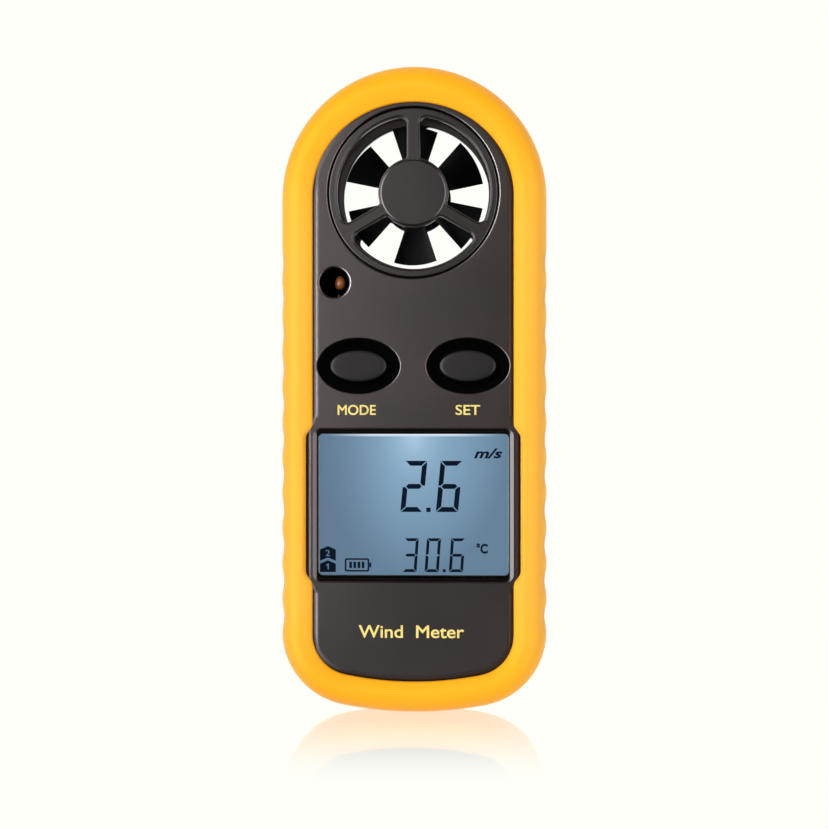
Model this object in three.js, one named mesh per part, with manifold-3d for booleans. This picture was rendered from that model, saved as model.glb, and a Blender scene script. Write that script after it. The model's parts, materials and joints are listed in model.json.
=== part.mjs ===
// Handheld weather meter: a vane anemometer with a display, inside a stretch-on rubber holster.
// Millimetres. +Z runs up the meter and -Y points out of its face.
// Origin: bottom centre of the holster, half way through its thickness.
import * as THREE from "three";
import { mergeVertices } from "three/addons/utils/BufferGeometryUtils.js";
import Module from "manifold-3d";

const wasm = await Module();
wasm.setup();

const DEG = Math.PI / 180;
const PAST = 2; // how far a cut runs past the material it goes through
const GAP = 0.15; // between neighbouring pieces that touch on the real object
const SLIP = 0.05; // between a piece and what holds it tightly
const OVERLAP = 0.1; // how far joined solids run into each other

// ---------- driving dimensions ----------

// Outlines seen from the front: straight sides, a round top, and a bottom arc with corner arcs.
const CASE = { half: 20, bottom: 3.5, cornerR: 10, bottomR: 62, topZ: 88.5, topA: 20, topB: 20 };
const SLEEVE = { half: 23, bottom: 0, cornerR: 13, bottomR: 66, topZ: 89, topA: 23, topB: 23 };
const MOUTH = { half: 17.25, bottom: 5.65, cornerR: 7, bottomR: 58, topZ: 89.3, topA: 17.25, topB: 16.1 };

// Casing halves
const FACE = 7.5; // half the casing's thickness
const WALL = 1.6;
const SHOULDER = 4; // radius of the casing's long edges
const PARTING_FRONT = 0.3;
const PARTING_BACK = 0.4;

// Holster
const SLEEVE_FACE = 9.5; // half the holster's thickness
const GRIP = { top: 77.9, pitch: 6.13, count: 11, depth: 0.35 };
const DISPLAY_NOTCH = { out: 1.15, low: 22.6, high: 49.6, slope: 1.6 };
const FRONT_FLARE = { y: 8.3, out: 2, reach: 2.7 };
const BACK_FLARE = { y: 8.6, out: 0.6, reach: 1.8 };

// Fan
const FAN_Z = 89.9;
const STRUT_ANGLES = [90, 210, 330];
const GUARD = { outR: 14.6, frontR: 13.2, backR: 12.8, hubR: 6.05, strut: 2.2 };
const GUARD_FILLET = { out: 1.1, hub: 0.7 };
const GUARD_Y = { face: 7.3, back: 5.75, boss: 4, bossR: 5.6 }; // boss: the end of the bearing's boss
const GUARD_SEAT = { r: 14.8, rimR: 15.1, rimDepth: 0.35 };
const DUCT = { inR: 13, outR: 15.2, half: 5.6 };
const BLADE = { count: 6, rootR: 4.9, tipR: 12.1, halfSweep: 18 * DEG, half: 2.5, thick: 0.7, first: 30 };
const HUB = { r: 5.2, half: 2.6 };
const SHAFT = { r: 0.5, half: 4.9, tip: 0.4 };
const BEARING = { r: 1.4, boreR: 0.56, length: 1.2, depth: 1 };
const MAGNET = { inR: 1.2, outR: 4.2, thick: 1.2 };
const SENSOR = { low: 2.2, high: 4.9, width: 2.6, front: 4.3, thick: 1 };
const LEAD_ANGLE = 330; // the rear strut that the sensor's cable follows
const LEAD_R = 0.4;
const LEAD_SLOT = { half: 0.6, y: 4.7 };
const LEAD_ALONG_STRUT = [[5.15, 4.9], [6.6, 5.15], [12, 5.2], [15.4, 5.15]]; // radius, y
const LEAD_TO_BOARD = [[14.4, 4.4, 80], [13.4, 2, 75.5], [13, 0.65, 72.4], [13, 0.6, 70.6]]; // x, y, z

// Display
const WINDOW = { half: 16.8, low: 23.1, high: 48.8, radius: 1, front: -6.95, back: -6.35, chamfer: 0.1 };
const WINDOW_SEAT = { y: -6.2, bevelY: -6.9 };
const APERTURE = { half: 16.4, low: 24, high: 48.4, radius: 0.8 };
const BULGE = { half: 18.15, straight: 2.3, low: 21.3, high: 50.9, reach: 3, back: -5 };
const LCD = { half: 16.9, low: 23.2, high: 49, front: -5.5, back: -3.4 };
const LCD_FRAME = { half: 17.9, low: 22.2, high: 49.9, front: -5.75, back: -1, viewHalf: 16.35 };
const LCD_VIEW = { low: 23.8, high: 48.6 };
const DISPLAY_POCKET = { half: 18.1, low: 22, high: 50.1 };
const GUIDE = { half: 16.3, low: 26.6, high: 48.4, front: -3.3, back: -1.1 };
const LED = { half: 1.7, height: 1.1, front: -3, room: 0.3 };
const CONNECTOR = { half: 15, low: 23.9, high: 25.7 };

// Buttons
const BUTTON_X = 9.45;
const BUTTON_Z = 60;
const BUTTON = { halfX: 5.35, halfZ: 3.15, topX: 4.95, topZ: 2.8, crown: -7.75, shoulder: -7.35, edge: 0.1 };
const FLANGE = { halfX: 6.2, halfZ: 3.95, front: -4.45, back: -3.7 };
const STEM = { r: 1.2, back: -3.5 };
const DISH = { halfX: 7.25, halfZ: 4.85, floorX: 5.75, floorZ: 3.5, floor: -6.1 };
const WELL = { halfX: 8, halfZ: 5.6, back: -4.6, holeX: 5.55, holeZ: 3.35 };
const SWITCH = { half: 2.3, front: -2.9, boreR: 1.3, boreDepth: 1.1 };
const PLUNGER = { r: 1.1, front: -3.45, back: -2.75 };

// Circuit board
const BOARD = { inset: 2.6, low: 7, high: 72, front: -0.9, back: 0.1, caseHoleR: 1.3, postHoleR: 1 };
const ON_BOARD = 0.03; // between the board and what stands on its back
const CHIP_RESIN = [[0, 0.12], [4.4, 0.12], [4.2, 0.6], [3.3, 1.1], [1.8, 1.4], [0, 1.5]]; // radius, y
const CHIP_PLACE = [0, 0, 44];
const CRYSTAL = { r: 1, half: 3, place: [-9, 1.2, 52] };
const CAPACITOR = { halfX: 1.7, halfZ: 0.9, front: 0.15, back: 1.9, place: [8.5, 0, 50] };
const CASE_SCREWS = [
  { name: "case_screw_upper_left", x: -14.2, z: 66 },
  { name: "case_screw_upper_right", x: 14.2, z: 66 },
  { name: "case_screw_lower_left", x: -14.2, z: 12.8 },
  { name: "case_screw_lower_right", x: 14.2, z: 12.8 },
];
const BOARD_SCREWS = [
  { name: "board_screw_upper", x: 0, z: 68 },
  { name: "board_screw_lower", x: 0, z: 53.2 },
];
const CASE_SCREW = { headR: 1.8, seat: 5.25, head: 1.3, shankR: 0.95, end: -4.2, recess: 0.7 };
const BOARD_SCREW = { headR: 1.6, seat: 0.2, head: 1, shankR: 0.75, end: -4, recess: 0.5 };
const BOSS = { frontR: 2.2, backR: 2.4, pilotR: 1, passR: 1.15, counterR: 2.1 };
const POST = { r: 2, pilotR: 0.8 };
const PILOT_END = -5.2; // how far forwards the screws' pilot holes reach

// Temperature sensor
const PROBE = { x: -13.6, z: 74.4, r: 2.5, rimR: 2.95, rimDepth: 0.45, tubeR: 3.3, tubeBack: -1.8 };
const BEAD = { x: -12.9, y: -3.6, z: 74.5, r: 0.95, stretch: 1.35 };
const PROBE_LEAD = { r: 0.15, spread: 0.45, bendY: -2, boardZ: [72.9, 71.6, 70.4] };

// Battery compartment
const CELL_Z = 21;
const CELL = { r: 10, front: 1.5, back: 4.7, rimR: 8.6, step: 0.35 };
const CELL_WELL = { r: 10.25, outR: 13.4, lugR: 12.5, mouthR: 11.3, lugFront: 4.95, ledge: 6.25 };
const CAP = { r: 11, front: 5.1, face: 7.4, edge: 0.35, hollowR: 9.6, hollow: 6 };
const COIN_SLOT = { half: 6.5, width: 1.8, depth: 0.9 };
const LUG = { inR: 10.6, outR: 12.25, arc: 20, front: 5.1, back: 6.1, first: 90, notchArc: 26 };
const CAP_TURN = 45; // degrees from locked to free
const RIM_CONTACT = { half: 2.2, back: 4.2, thick: 0.3, reach: 3.15 };
const RIM_CONTACT_ROOM = { half: 2.6, back: 4.6, outR: 11.2, footBack: 1, footR: 14 };
const SPRING = { width: 5, thick: 0.25, foot: 6.5, knee: 4.5, crest: 1.5 };

// Rating label on the rear casing
const LABEL = { half: 12, low: 40, high: 61, radius: 1.5, depth: 0.25, thick: 0.18 };

// ---------- materials ----------

const finish = (color, roughness, metalness = 0, more = {}) =>
  new THREE.MeshStandardMaterial({ color, roughness, metalness, ...more });
const MATERIAL = {
  rubber: finish(0xf7b418, 0.6),
  casing: finish(0x1d1c1b, 0.45),
  vane: finish(0x0b0b0b, 0.5),
  clear: finish(0xdfe9ee, 0.05, 0, { transparent: true, opacity: 0.3 }),
  display: finish(0x7f9db5, 0.25),
  pale: finish(0xd9d9d4, 0.5),
  tape: finish(0x101010, 0.7),
  board: finish(0x1e5b38, 0.5),
  black: finish(0x151515, 0.5),
  steel: finish(0xb9bcc0, 0.3, 1),
  brass: finish(0xc9a24e, 0.35, 1),
  magnet: finish(0x55585c, 0.4, 0.8),
  amber: finish(0xb06a33, 0.3),
  tan: finish(0xb98f4a, 0.5),
  label: finish(0xc8cacb, 0.4),
  led: finish(0xf5f2d8, 0.3),
  rubberGrey: finish(0x6a6d72, 0.8),
};

// ---------- shape helpers ----------

// A closed three.js geometry as a manifold-3d solid.
function toSolid(geometry) {
  const bare = geometry.index ? geometry.toNonIndexed() : geometry.clone();
  bare.deleteAttribute("normal");
  bare.deleteAttribute("uv");
  const merged = mergeVertices(bare, 1e-4);
  const vertProperties = merged.attributes.position.array;
  const triVerts = new Uint32Array(merged.index.array);
  return new wasm.Manifold(new wasm.Mesh({ numProp: 3, vertProperties, triVerts }));
}

function toGeometry(solid) {
  const mesh = solid.getMesh();
  const positions = new Float32Array(mesh.numVert * 3);
  for (let i = 0; i < mesh.numVert; i++) {
    const start = i * mesh.numProp;
    positions.set(mesh.vertProperties.subarray(start, start + 3), i * 3);
  }
  const indexed = new THREE.BufferGeometry()
    .setAttribute("position", new THREE.BufferAttribute(positions, 3))
    .setIndex(new THREE.BufferAttribute(mesh.triVerts, 1));
  const geometry = indexed.toNonIndexed();
  geometry.computeVertexNormals();
  return geometry;
}

const joined = (solids) => solids.reduce((whole, piece) => whole.add(piece));
const cutBy = (solid, tools) => tools.reduce((left, tool) => left.subtract(tool), solid);

// A flat shape drawn in X and Z, given thickness from yLow to yHigh.
function prism(shape, yLow, yHigh, curveSegments = 12) {
  const geometry = new THREE.ExtrudeGeometry(shape, {
    depth: yHigh - yLow,
    bevelEnabled: false,
    curveSegments,
  });
  return toSolid(geometry.rotateX(90 * DEG).translate(0, yHigh, 0));
}

function box(xLow, xHigh, yLow, yHigh, zLow, zHigh) {
  const geometry = new THREE.BoxGeometry(xHigh - xLow, yHigh - yLow, zHigh - zLow);
  return toSolid(geometry.translate((xLow + xHigh) / 2, (yLow + yHigh) / 2, (zLow + zHigh) / 2));
}

// A cylinder or cone along Y, centred on (x, z). rHigh is its radius at yHigh.
function disc(rLow, yLow, yHigh, { x = 0, z = 0, rHigh = rLow, sides = 40 } = {}) {
  const geometry = new THREE.CylinderGeometry(rHigh, rLow, yHigh - yLow, sides);
  return toSolid(geometry.translate(x, (yLow + yHigh) / 2, z));
}

// An elliptical disc or cone along Y.
function oval(halfX, halfZ, yLow, yHigh, { highX = halfX, highZ = halfZ, sides = 32 } = {}) {
  const ring = (a, b, y) => ({ y, points: ellipsePoints(a, b, sides) });
  return loft([ring(halfX, halfZ, yLow), ring(highX, highZ, yHigh)]);
}

function ellipsePoints(a, b, sides) {
  const points = [];
  for (let i = 0; i < sides; i++) {
    const angle = (i / sides) * 2 * Math.PI;
    points.push(new THREE.Vector2(a * Math.cos(angle), b * Math.sin(angle)));
  }
  return points;
}

// A turned solid about Y. The profile is [radius, y] pairs that start and end on the axis.
function turned(profile, sides = 32) {
  const points = profile.map(([radius, y]) => new THREE.Vector2(radius, y));
  return toSolid(new THREE.LatheGeometry(points, sides));
}

function roundedRect(half, low, high, radius) {
  const shape = new THREE.Shape();
  shape.absarc(half - radius, low + radius, radius, -90 * DEG, 0, false);
  shape.absarc(half - radius, high - radius, radius, 0, 90 * DEG, false);
  shape.absarc(radius - half, high - radius, radius, 90 * DEG, 180 * DEG, false);
  shape.absarc(radius - half, low + radius, radius, 180 * DEG, 270 * DEG, false);
  return shape;
}

// A closed skin through rings of matching points. Each ring is {y, points in X and Z}, in order of y
// and counter-clockwise seen from the front. The first and last are capped by fans of triangles.
function loft(rings) {
  const count = rings[0].points.length;
  const positions = [];
  const corner = (ring, i) => {
    const p = rings[ring].points[i % count];
    positions.push(p.x, rings[ring].y, p.y);
  };
  for (let ring = 0; ring + 1 < rings.length; ring++) {
    for (let i = 0; i < count; i++) {
      corner(ring, i);
      corner(ring + 1, i);
      corner(ring, i + 1);
      corner(ring, i + 1);
      corner(ring + 1, i);
      corner(ring + 1, i + 1);
    }
  }
  for (const ring of [0, rings.length - 1]) {
    const middle = new THREE.Vector2();
    for (const point of rings[ring].points) middle.addScaledVector(point, 1 / count);
    for (let i = 0; i < count; i++) {
      positions.push(middle.x, rings[ring].y, middle.y);
      corner(ring, ring ? i + 1 : i);
      corner(ring, ring ? i : i + 1);
    }
  }
  const skin = new THREE.BufferGeometry();
  skin.setAttribute("position", new THREE.Float32BufferAttribute(positions, 3));
  return toSolid(skin);
}

// The same outline, moved inwards by a distance.
const inset = (form, by) => ({
  half: form.half - by,
  bottom: form.bottom + by,
  cornerR: form.cornerR - by,
  bottomR: form.bottomR - by,
  topZ: form.topZ,
  topA: form.topA - by,
  topB: form.topB - by,
});

// Points of an outline, counter-clockwise from the bottom centre. Each station is a height on the
// straight sides, and sideShift moves the side outwards there.
function outlinePoints(form, { stations = [], sideShift = () => 0, steps = 3, topSteps = 8 } = {}) {
  const { half, bottom, cornerR, bottomR, topZ, topA, topB } = form;
  const arcZ = bottom + bottomR;
  const cornerX = half - cornerR;
  const cornerZ = arcZ - Math.sqrt((bottomR - cornerR) ** 2 - cornerX ** 2);
  const meet = Math.atan2(cornerZ - arcZ, cornerX);
  const right = [];
  for (let i = 0; i < steps; i++) {
    const angle = THREE.MathUtils.lerp(-90 * DEG, meet, i / steps);
    right.push([bottomR * Math.cos(angle), arcZ + bottomR * Math.sin(angle)]);
  }
  for (let i = 0; i <= steps; i++) {
    const angle = THREE.MathUtils.lerp(meet, 0, i / steps);
    right.push([cornerX + cornerR * Math.cos(angle), cornerZ + cornerR * Math.sin(angle)]);
  }
  for (const z of stations) right.push([half + sideShift(z), z]);
  for (let i = 0; i <= topSteps; i++) {
    const angle = ((90 * i) / topSteps) * DEG;
    right.push([topA * Math.cos(angle), topZ + topB * Math.sin(angle)]);
  }
  const left = right.slice(1, -1).reverse().map(([x, z]) => [-x, z]);
  return [...right, ...left].map(([x, z]) => new THREE.Vector2(x, z));
}

// One face of the casing's outer skin, grown by a distance: flat, then rounded into the side.
// side is -1 for the front and 1 for the back. The rings are in order from the face inwards.
function shoulderRings(side, grow, steps = 3) {
  const rings = [];
  for (let i = 0; i <= steps; i++) {
    const angle = (i / steps) * 90 * DEG;
    const radius = SHOULDER + grow;
    const form = inset(CASE, SHOULDER - radius * Math.sin(angle));
    rings.push({ y: side * (FACE - SHOULDER + radius * Math.cos(angle)), points: outlinePoints(form) });
  }
  return rings;
}

// The whole casing as one block, grown or shrunk by a distance.
const caseBlock = (grow) => loft([...shoulderRings(-1, grow), ...shoulderRings(1, grow).reverse()]);

// One half of the casing's block, from its face to a parting plane.
function caseHalf(side, grow, partingY) {
  const rings = shoulderRings(side, grow);
  rings.push({ y: partingY, points: outlinePoints(inset(CASE, -grow)) });
  return loft(side < 0 ? rings : rings.reverse());
}

// A thick curved sheet: point(u, v, side) with u and v from 0 to 1 and side -1 or 1.
function thickSheet(uSteps, vSteps, point) {
  const positions = [];
  const add = (...corners) => {
    for (const [u, v, side] of corners) positions.push(...point(u / uSteps, v / vSteps, side));
  };
  const quad = (a, b, c, d) => {
    add(a, b, c);
    add(a, c, d);
  };
  for (let u = 0; u < uSteps; u++) {
    for (let v = 0; v < vSteps; v++) {
      quad([u, v, 1], [u + 1, v, 1], [u + 1, v + 1, 1], [u, v + 1, 1]);
      quad([u, v, -1], [u, v + 1, -1], [u + 1, v + 1, -1], [u + 1, v, -1]);
    }
    quad([u, 0, -1], [u + 1, 0, -1], [u + 1, 0, 1], [u, 0, 1]);
    quad([u, vSteps, 1], [u + 1, vSteps, 1], [u + 1, vSteps, -1], [u, vSteps, -1]);
  }
  for (let v = 0; v < vSteps; v++) {
    quad([0, v, 1], [0, v + 1, 1], [0, v + 1, -1], [0, v, -1]);
    quad([uSteps, v, -1], [uSteps, v + 1, -1], [uSteps, v + 1, 1], [uSteps, v, 1]);
  }
  const skin = new THREE.BufferGeometry();
  skin.setAttribute("position", new THREE.Float32BufferAttribute(positions, 3));
  return toSolid(skin);
}

// A round cable along a smooth curve through points.
function cable(points, radius, steps, sides) {
  const section = new THREE.Shape(ellipsePoints(radius, radius, sides));
  const extrudePath = new THREE.CatmullRomCurve3(points.map((p) => new THREE.Vector3(...p)));
  return toSolid(new THREE.ExtrudeGeometry(section, { steps, bevelEnabled: false, extrudePath }));
}

// ---------- holster ----------

// Heights of the finger grooves: the bottom of each groove and the ridge above it.
function gripStations() {
  const stations = [];
  const lowest = GRIP.top - GRIP.pitch * (GRIP.count - 1);
  for (let i = 0; i < 2 * GRIP.count; i++) stations.push(lowest + (i * GRIP.pitch) / 2);
  return stations;
}

const gripDepth = (z) => (GRIP.depth * (1 + Math.cos(((z - GRIP.top) / GRIP.pitch) * 2 * Math.PI))) / 2;

// The sleeve's section: [inwards from its outline, y, share of the grip grooves].
const SLEEVE_SECTION = [
  [7, -8.5, 0],
  [5, -9.15, 0],
  [3.6, -SLEEVE_FACE, 0],
  [2.4, -9.1, 0],
  [1.2, -8, 0.2],
  [0.4, -6.3, 0.7],
  [0, -3.8, 1],
  [0, 3.8, 1],
  [0.4, 6.3, 0.7],
  [1.2, 8, 0.2],
  [2.4, 9.1, 0],
  [3.4, SLEEVE_FACE, 0],
  [7, SLEEVE_FACE, 0],
];

// The opening in one face of the holster. It flares towards the outside, and a notch of 1 lets it
// step out beside the display.
function mouth(side, notch, flare) {
  const { out, low, high, slope } = DISPLAY_NOTCH;
  const stations = [low, low + slope, high - slope, high];
  const sideShift = (z) => (z > low && z < high ? out * notch : 0);
  const ring = (y, grow) => {
    const points = outlinePoints(inset(MOUTH, -grow), { stations, sideShift });
    return { y: side * y, points };
  };
  const rings = [ring(FACE - SHOULDER, 0), ring(flare.y, 0), ring(flare.y + flare.reach, flare.out)];
  return loft(side < 0 ? rings.reverse() : rings);
}

function holster() {
  const stations = gripStations();
  const rings = SLEEVE_SECTION.map(([by, y, grip]) => {
    const sideShift = (z) => -grip * gripDepth(z);
    return { y, points: outlinePoints(inset(SLEEVE, by), { stations, sideShift }) };
  });
  return cutBy(loft(rings), [caseBlock(GAP), mouth(-1, 1, FRONT_FLARE), mouth(1, 0, BACK_FLARE)]);
}

// ---------- casing halves ----------

const atFan = (solid) => solid.translate([0, 0, FAN_Z]);
const atButton = (solid, side) => solid.translate([side * BUTTON_X, 0, BUTTON_Z]);
const atCell = (solid) => solid.translate([0, 0, CELL_Z]);

function buttonOpening(side) {
  const { halfX, halfZ, floorX, floorZ, floor } = DISH;
  const dish = oval(halfX, halfZ, -FACE, floor, { highX: floorX, highZ: floorZ });
  const above = oval(halfX, halfZ, -FACE - PAST, -FACE);
  const hole = oval(WELL.holeX, WELL.holeZ, floor - OVERLAP, PAST);
  return atButton(joined([dish, above, hole]), side);
}

// The bore that a guard sits in, with its rounded rim, through one face.
function guardSeat(side) {
  const { r, rimR, rimDepth } = GUARD_SEAT;
  const bore = disc(r, 0, FACE + PAST, { sides: 40 });
  const rim = disc(r, FACE - rimDepth, FACE, { rHigh: rimR, sides: 40 });
  const above = disc(rimR, FACE, FACE + PAST, { sides: 40 });
  const seat = joined([bore, rim, above]);
  return atFan(side < 0 ? seat.rotate([0, 0, 180]) : seat);
}

// The casing's face swells out beside the display, so that the window has a rim all round.
function displayBulge() {
  const { half, straight, low, high, reach, back } = BULGE;
  const inner = half - straight;
  const corners = [
    [inner, low],
    [half, low + reach],
    [half, high - reach],
    [inner, high],
    [-inner, high],
    [-half, high - reach],
    [-half, low + reach],
    [-inner, low],
  ];
  return prism(new THREE.Shape(corners.map(([x, z]) => new THREE.Vector2(x, z))), -FACE, back);
}

// The window's recess, with a bevel round its mouth.
function windowRecess() {
  const { y, bevelY } = WINDOW_SEAT;
  const { half, low, high, radius } = WINDOW;
  const ring = (ringY, grow) => {
    const by = grow + GAP;
    return { y: ringY, points: roundedRect(half + by, low - by, high + by, radius + by).getPoints(3) };
  };
  return loft([ring(bevelY - PAST, PAST), ring(bevelY, 0), ring(y, 0)]);
}

function frontCasing() {
  const outer = caseHalf(-1, 0, PARTING_FRONT).add(displayBulge());
  const cavity = caseHalf(-1, -WALL, PARTING_FRONT + PAST);
  const inner = -(FACE - WALL / 2);
  const bosses = [
    ...CASE_SCREWS.map(({ x, z }) => disc(BOSS.frontR, inner, BOARD.front - GAP, { x, z, sides: 16 })),
    ...BOARD_SCREWS.map(({ x, z }) => disc(POST.r, inner, BOARD.front - GAP, { x, z, sides: 16 })),
    ...[-1, 1].map((side) => atButton(oval(WELL.halfX, WELL.halfZ, inner, WELL.back), side)),
    disc(PROBE.tubeR, inner, PROBE.tubeBack, { x: PROBE.x, z: PROBE.z, sides: 32 }),
  ];
  const block = outer.subtract(cavity).add(joined(bosses).intersect(outer));
  const aperture = roundedRect(APERTURE.half, APERTURE.low, APERTURE.high, APERTURE.radius);
  const pocket = DISPLAY_POCKET;
  const probeRim = { x: PROBE.x, z: PROBE.z, rHigh: PROBE.r, sides: 32 };
  return cutBy(block, [
    guardSeat(-1),
    atFan(disc(DUCT.outR + GAP, -DUCT.half - GAP, PAST, { sides: 40 })),
    windowRecess(),
    prism(aperture, -FACE, PAST, 2),
    box(-pocket.half, pocket.half, -(FACE - WALL), PAST, pocket.low, pocket.high),
    buttonOpening(-1),
    buttonOpening(1),
    disc(PROBE.r, -FACE - PAST, PAST, { x: PROBE.x, z: PROBE.z, sides: 32 }),
    disc(PROBE.rimR, -FACE, PROBE.rimDepth - FACE, probeRim),
    ...CASE_SCREWS.map(({ x, z }) => disc(BOSS.pilotR, PILOT_END, PAST, { x, z, sides: 16 })),
    ...BOARD_SCREWS.map(({ x, z }) => disc(POST.pilotR, PILOT_END, PAST, { x, z, sides: 16 })),
  ]);
}

function rearCasing() {
  const outer = caseHalf(1, 0, PARTING_BACK);
  const cavity = caseHalf(1, -WALL, PARTING_BACK - PAST);
  const inner = FACE - WALL / 2;
  const bosses = [
    ...CASE_SCREWS.map(({ x, z }) => disc(BOSS.backR, BOARD.back + GAP, inner, { x, z, sides: 16 })),
    atCell(disc(CELL_WELL.outR, BOARD.back + 2 * GAP, inner, { sides: 40 })),
  ];
  const block = outer.subtract(cavity).add(joined(bosses));
  const label = roundedRect(LABEL.half + GAP, LABEL.low - GAP, LABEL.high + GAP, LABEL.radius);
  return cutBy(block, [
    guardSeat(1),
    atFan(disc(DUCT.outR + GAP, -PAST, DUCT.half + GAP, { sides: 40 })),
    atCell(cellOpening()),
    prism(label, FACE - LABEL.depth, FACE + PAST, 3),
    ...CASE_SCREWS.map(({ x, z }) => disc(BOSS.passR, -PAST, FACE, { x, z, sides: 16 })),
    ...CASE_SCREWS.map(({ x, z }) => disc(BOSS.counterR, CASE_SCREW.seat, FACE + PAST, { x, z, sides: 16 })),
  ]);
}

// The battery compartment's hollow: the cell's well, the groove for the cap's lugs, the mouth and the
// notches that let the lugs in once the cap has turned.
function cellOpening() {
  const well = disc(CELL_WELL.r, -PAST, FACE, { sides: 40 });
  const groove = disc(CELL_WELL.lugR, CELL_WELL.lugFront, CELL_WELL.ledge, { sides: 40 });
  const opening = disc(CELL_WELL.mouthR, CELL_WELL.ledge - OVERLAP, FACE + PAST, { sides: 40 });
  const notch = lugSector(CELL_WELL.lugR, LUG.notchArc, CELL_WELL.ledge - OVERLAP, FACE + PAST);
  const notches = [0, 1, 2].map((i) => notch.rotate([0, -(LUG.first - CAP_TURN + 120 * i), 0]));
  const { half, back, outR, footBack, footR } = RIM_CONTACT_ROOM;
  const contactSlot = box(-half, half, 0, back, CELL.r, outR);
  const contactFoot = box(-half, half, 0, footBack, CELL.r, footR);
  return joined([well, groove, opening, ...notches, contactSlot, contactFoot]);
}

// ---------- fan ----------

// An annular sector centred on +X, as a lug or the notch for one.
function lugSector(outR, arc, yLow, yHigh) {
  const shape = new THREE.Shape();
  const half = (arc / 2) * DEG;
  shape.absarc(0, 0, outR, -half, half, false);
  shape.absarc(0, 0, LUG.inR, half, -half, true);
  return prism(shape, yLow, yHigh, 6);
}

// One opening of a guard: an annular sector between two struts, with rounded corners.
function guardWindow(from, to, outR) {
  const { hubR, strut } = GUARD;
  const { out: outFillet, hub: hubFillet } = GUARD_FILLET;
  const outShift = Math.asin((strut / 2 + outFillet) / (outR - outFillet));
  const hubShift = Math.asin((strut / 2 + hubFillet) / (hubR + hubFillet));
  const path = new THREE.Path();
  const corner = (radius, centreR, at, start, end) => {
    path.absarc(centreR * Math.cos(at), centreR * Math.sin(at), radius, start, end, false);
  };
  path.absarc(0, 0, outR, from + outShift, to - outShift, false);
  corner(outFillet, outR - outFillet, to - outShift, to - outShift, to + 90 * DEG);
  corner(hubFillet, hubR + hubFillet, to - hubShift, to + 90 * DEG, to - hubShift + 180 * DEG);
  path.absarc(0, 0, hubR, to - hubShift, from + hubShift, true);
  corner(hubFillet, hubR + hubFillet, from + hubShift, from + hubShift + 180 * DEG, from + 270 * DEG);
  corner(outFillet, outR - outFillet, from + outShift, from - 90 * DEG, from + outShift);
  return path;
}

// A guard grille facing -Y: ring, three struts, and a hub that holds a bearing.
function guard(windowR) {
  const shape = new THREE.Shape(ellipsePoints(GUARD.outR, GUARD.outR, 48));
  for (const angle of STRUT_ANGLES) {
    shape.holes.push(guardWindow(angle * DEG, (angle + 120) * DEG, windowR));
  }
  const grille = prism(shape, -GUARD_Y.face, -GUARD_Y.back, 4);
  const boss = disc(GUARD_Y.bossR, -GUARD_Y.back - OVERLAP, -GUARD_Y.boss, { sides: 32 });
  const pocket = disc(BEARING.r + 2 * SLIP, -GUARD_Y.boss - BEARING.length - SLIP, 0, { sides: 24 });
  return grille.add(boss).subtract(pocket);
}

// The rear guard is a front guard turned to face +Y, with a pocket for the rotation sensor.
function rearGuard() {
  const { low, width, front, thick } = SENSOR;
  const room = 2 * SLIP;
  const half = width / 2 + room;
  const deep = front + thick + room;
  const pocket = box(low - room, GUARD_Y.bossR + PAST, GUARD_Y.boss - PAST, deep, -half, half);
  const turnedRound = guard(GUARD.backR).scale([1, -1, 1]);
  return turnedRound.subtract(pocket.rotate([0, -LEAD_ANGLE, 0]));
}

function ductTube() {
  const tube = disc(DUCT.outR, -DUCT.half, DUCT.half, { sides: 40 });
  const bore = disc(DUCT.inR, -DUCT.half - PAST, DUCT.half + PAST, { sides: 40 });
  const { half, y } = LEAD_SLOT;
  const leadSlot = box(DUCT.inR - PAST, DUCT.outR + PAST, y, DUCT.half + PAST, -half, half);
  return tube.subtract(bore).subtract(leadSlot.rotate([0, -LEAD_ANGLE, 0]));
}

// One helical vane. Its front edge leads its back edge anticlockwise, seen from the front.
function blade(centre) {
  const rise = BLADE.half / BLADE.halfSweep; // travel along Y for each radian
  return thickSheet(2, 5, (u, v, side) => {
    const radius = THREE.MathUtils.lerp(BLADE.rootR, BLADE.tipR, u);
    const along = 2 * v - 1;
    const angle = centre - along * BLADE.halfSweep;
    const steep = Math.hypot(rise, radius);
    const shift = ((BLADE.thick / 2) * side) / steep;
    const turn = angle + (shift * rise) / radius;
    return [radius * Math.cos(turn), along * BLADE.half + shift * radius, radius * Math.sin(turn)];
  });
}

function impeller() {
  const blades = [];
  for (let i = 0; i < BLADE.count; i++) {
    blades.push(blade((BLADE.first + (360 / BLADE.count) * i) * DEG));
  }
  const hub = disc(HUB.r, -HUB.half, HUB.half, { sides: 36 });
  const bore = disc(SHAFT.r + 0.03, -HUB.half - PAST, HUB.half + PAST, { sides: 24 });
  const pocketY = HUB.half - MAGNET.thick - SLIP;
  const magnetPocket = disc(MAGNET.outR + SLIP, pocketY, HUB.half + PAST, { sides: 32 });
  return cutBy(joined([hub, ...blades]), [bore, magnetPocket]);
}

function impellerShaft() {
  const { r, half, tip } = SHAFT;
  const point = r * 0.3;
  return turned([[0, -half], [point, -half], [r, tip - half], [r, half - tip], [point, half], [0, half]], 24);
}

function impellerMagnet() {
  const ring = disc(MAGNET.outR, HUB.half - MAGNET.thick, HUB.half, { sides: 32 });
  return ring.subtract(disc(MAGNET.inR, 0, HUB.half + PAST, { sides: 24 }));
}

// A bearing cup for one end of the shaft, opening towards +Y.
function bearing() {
  const mouthY = -GUARD_Y.boss;
  const cup = disc(BEARING.r, mouthY - BEARING.length, mouthY, { sides: 24 });
  return cup.subtract(disc(BEARING.boreR, mouthY - BEARING.depth, 0, { sides: 24 }));
}

function rotationSensor() {
  const { low, high, width, front, thick } = SENSOR;
  return box(low, high, front, front + thick, -width / 2, width / 2);
}

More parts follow.
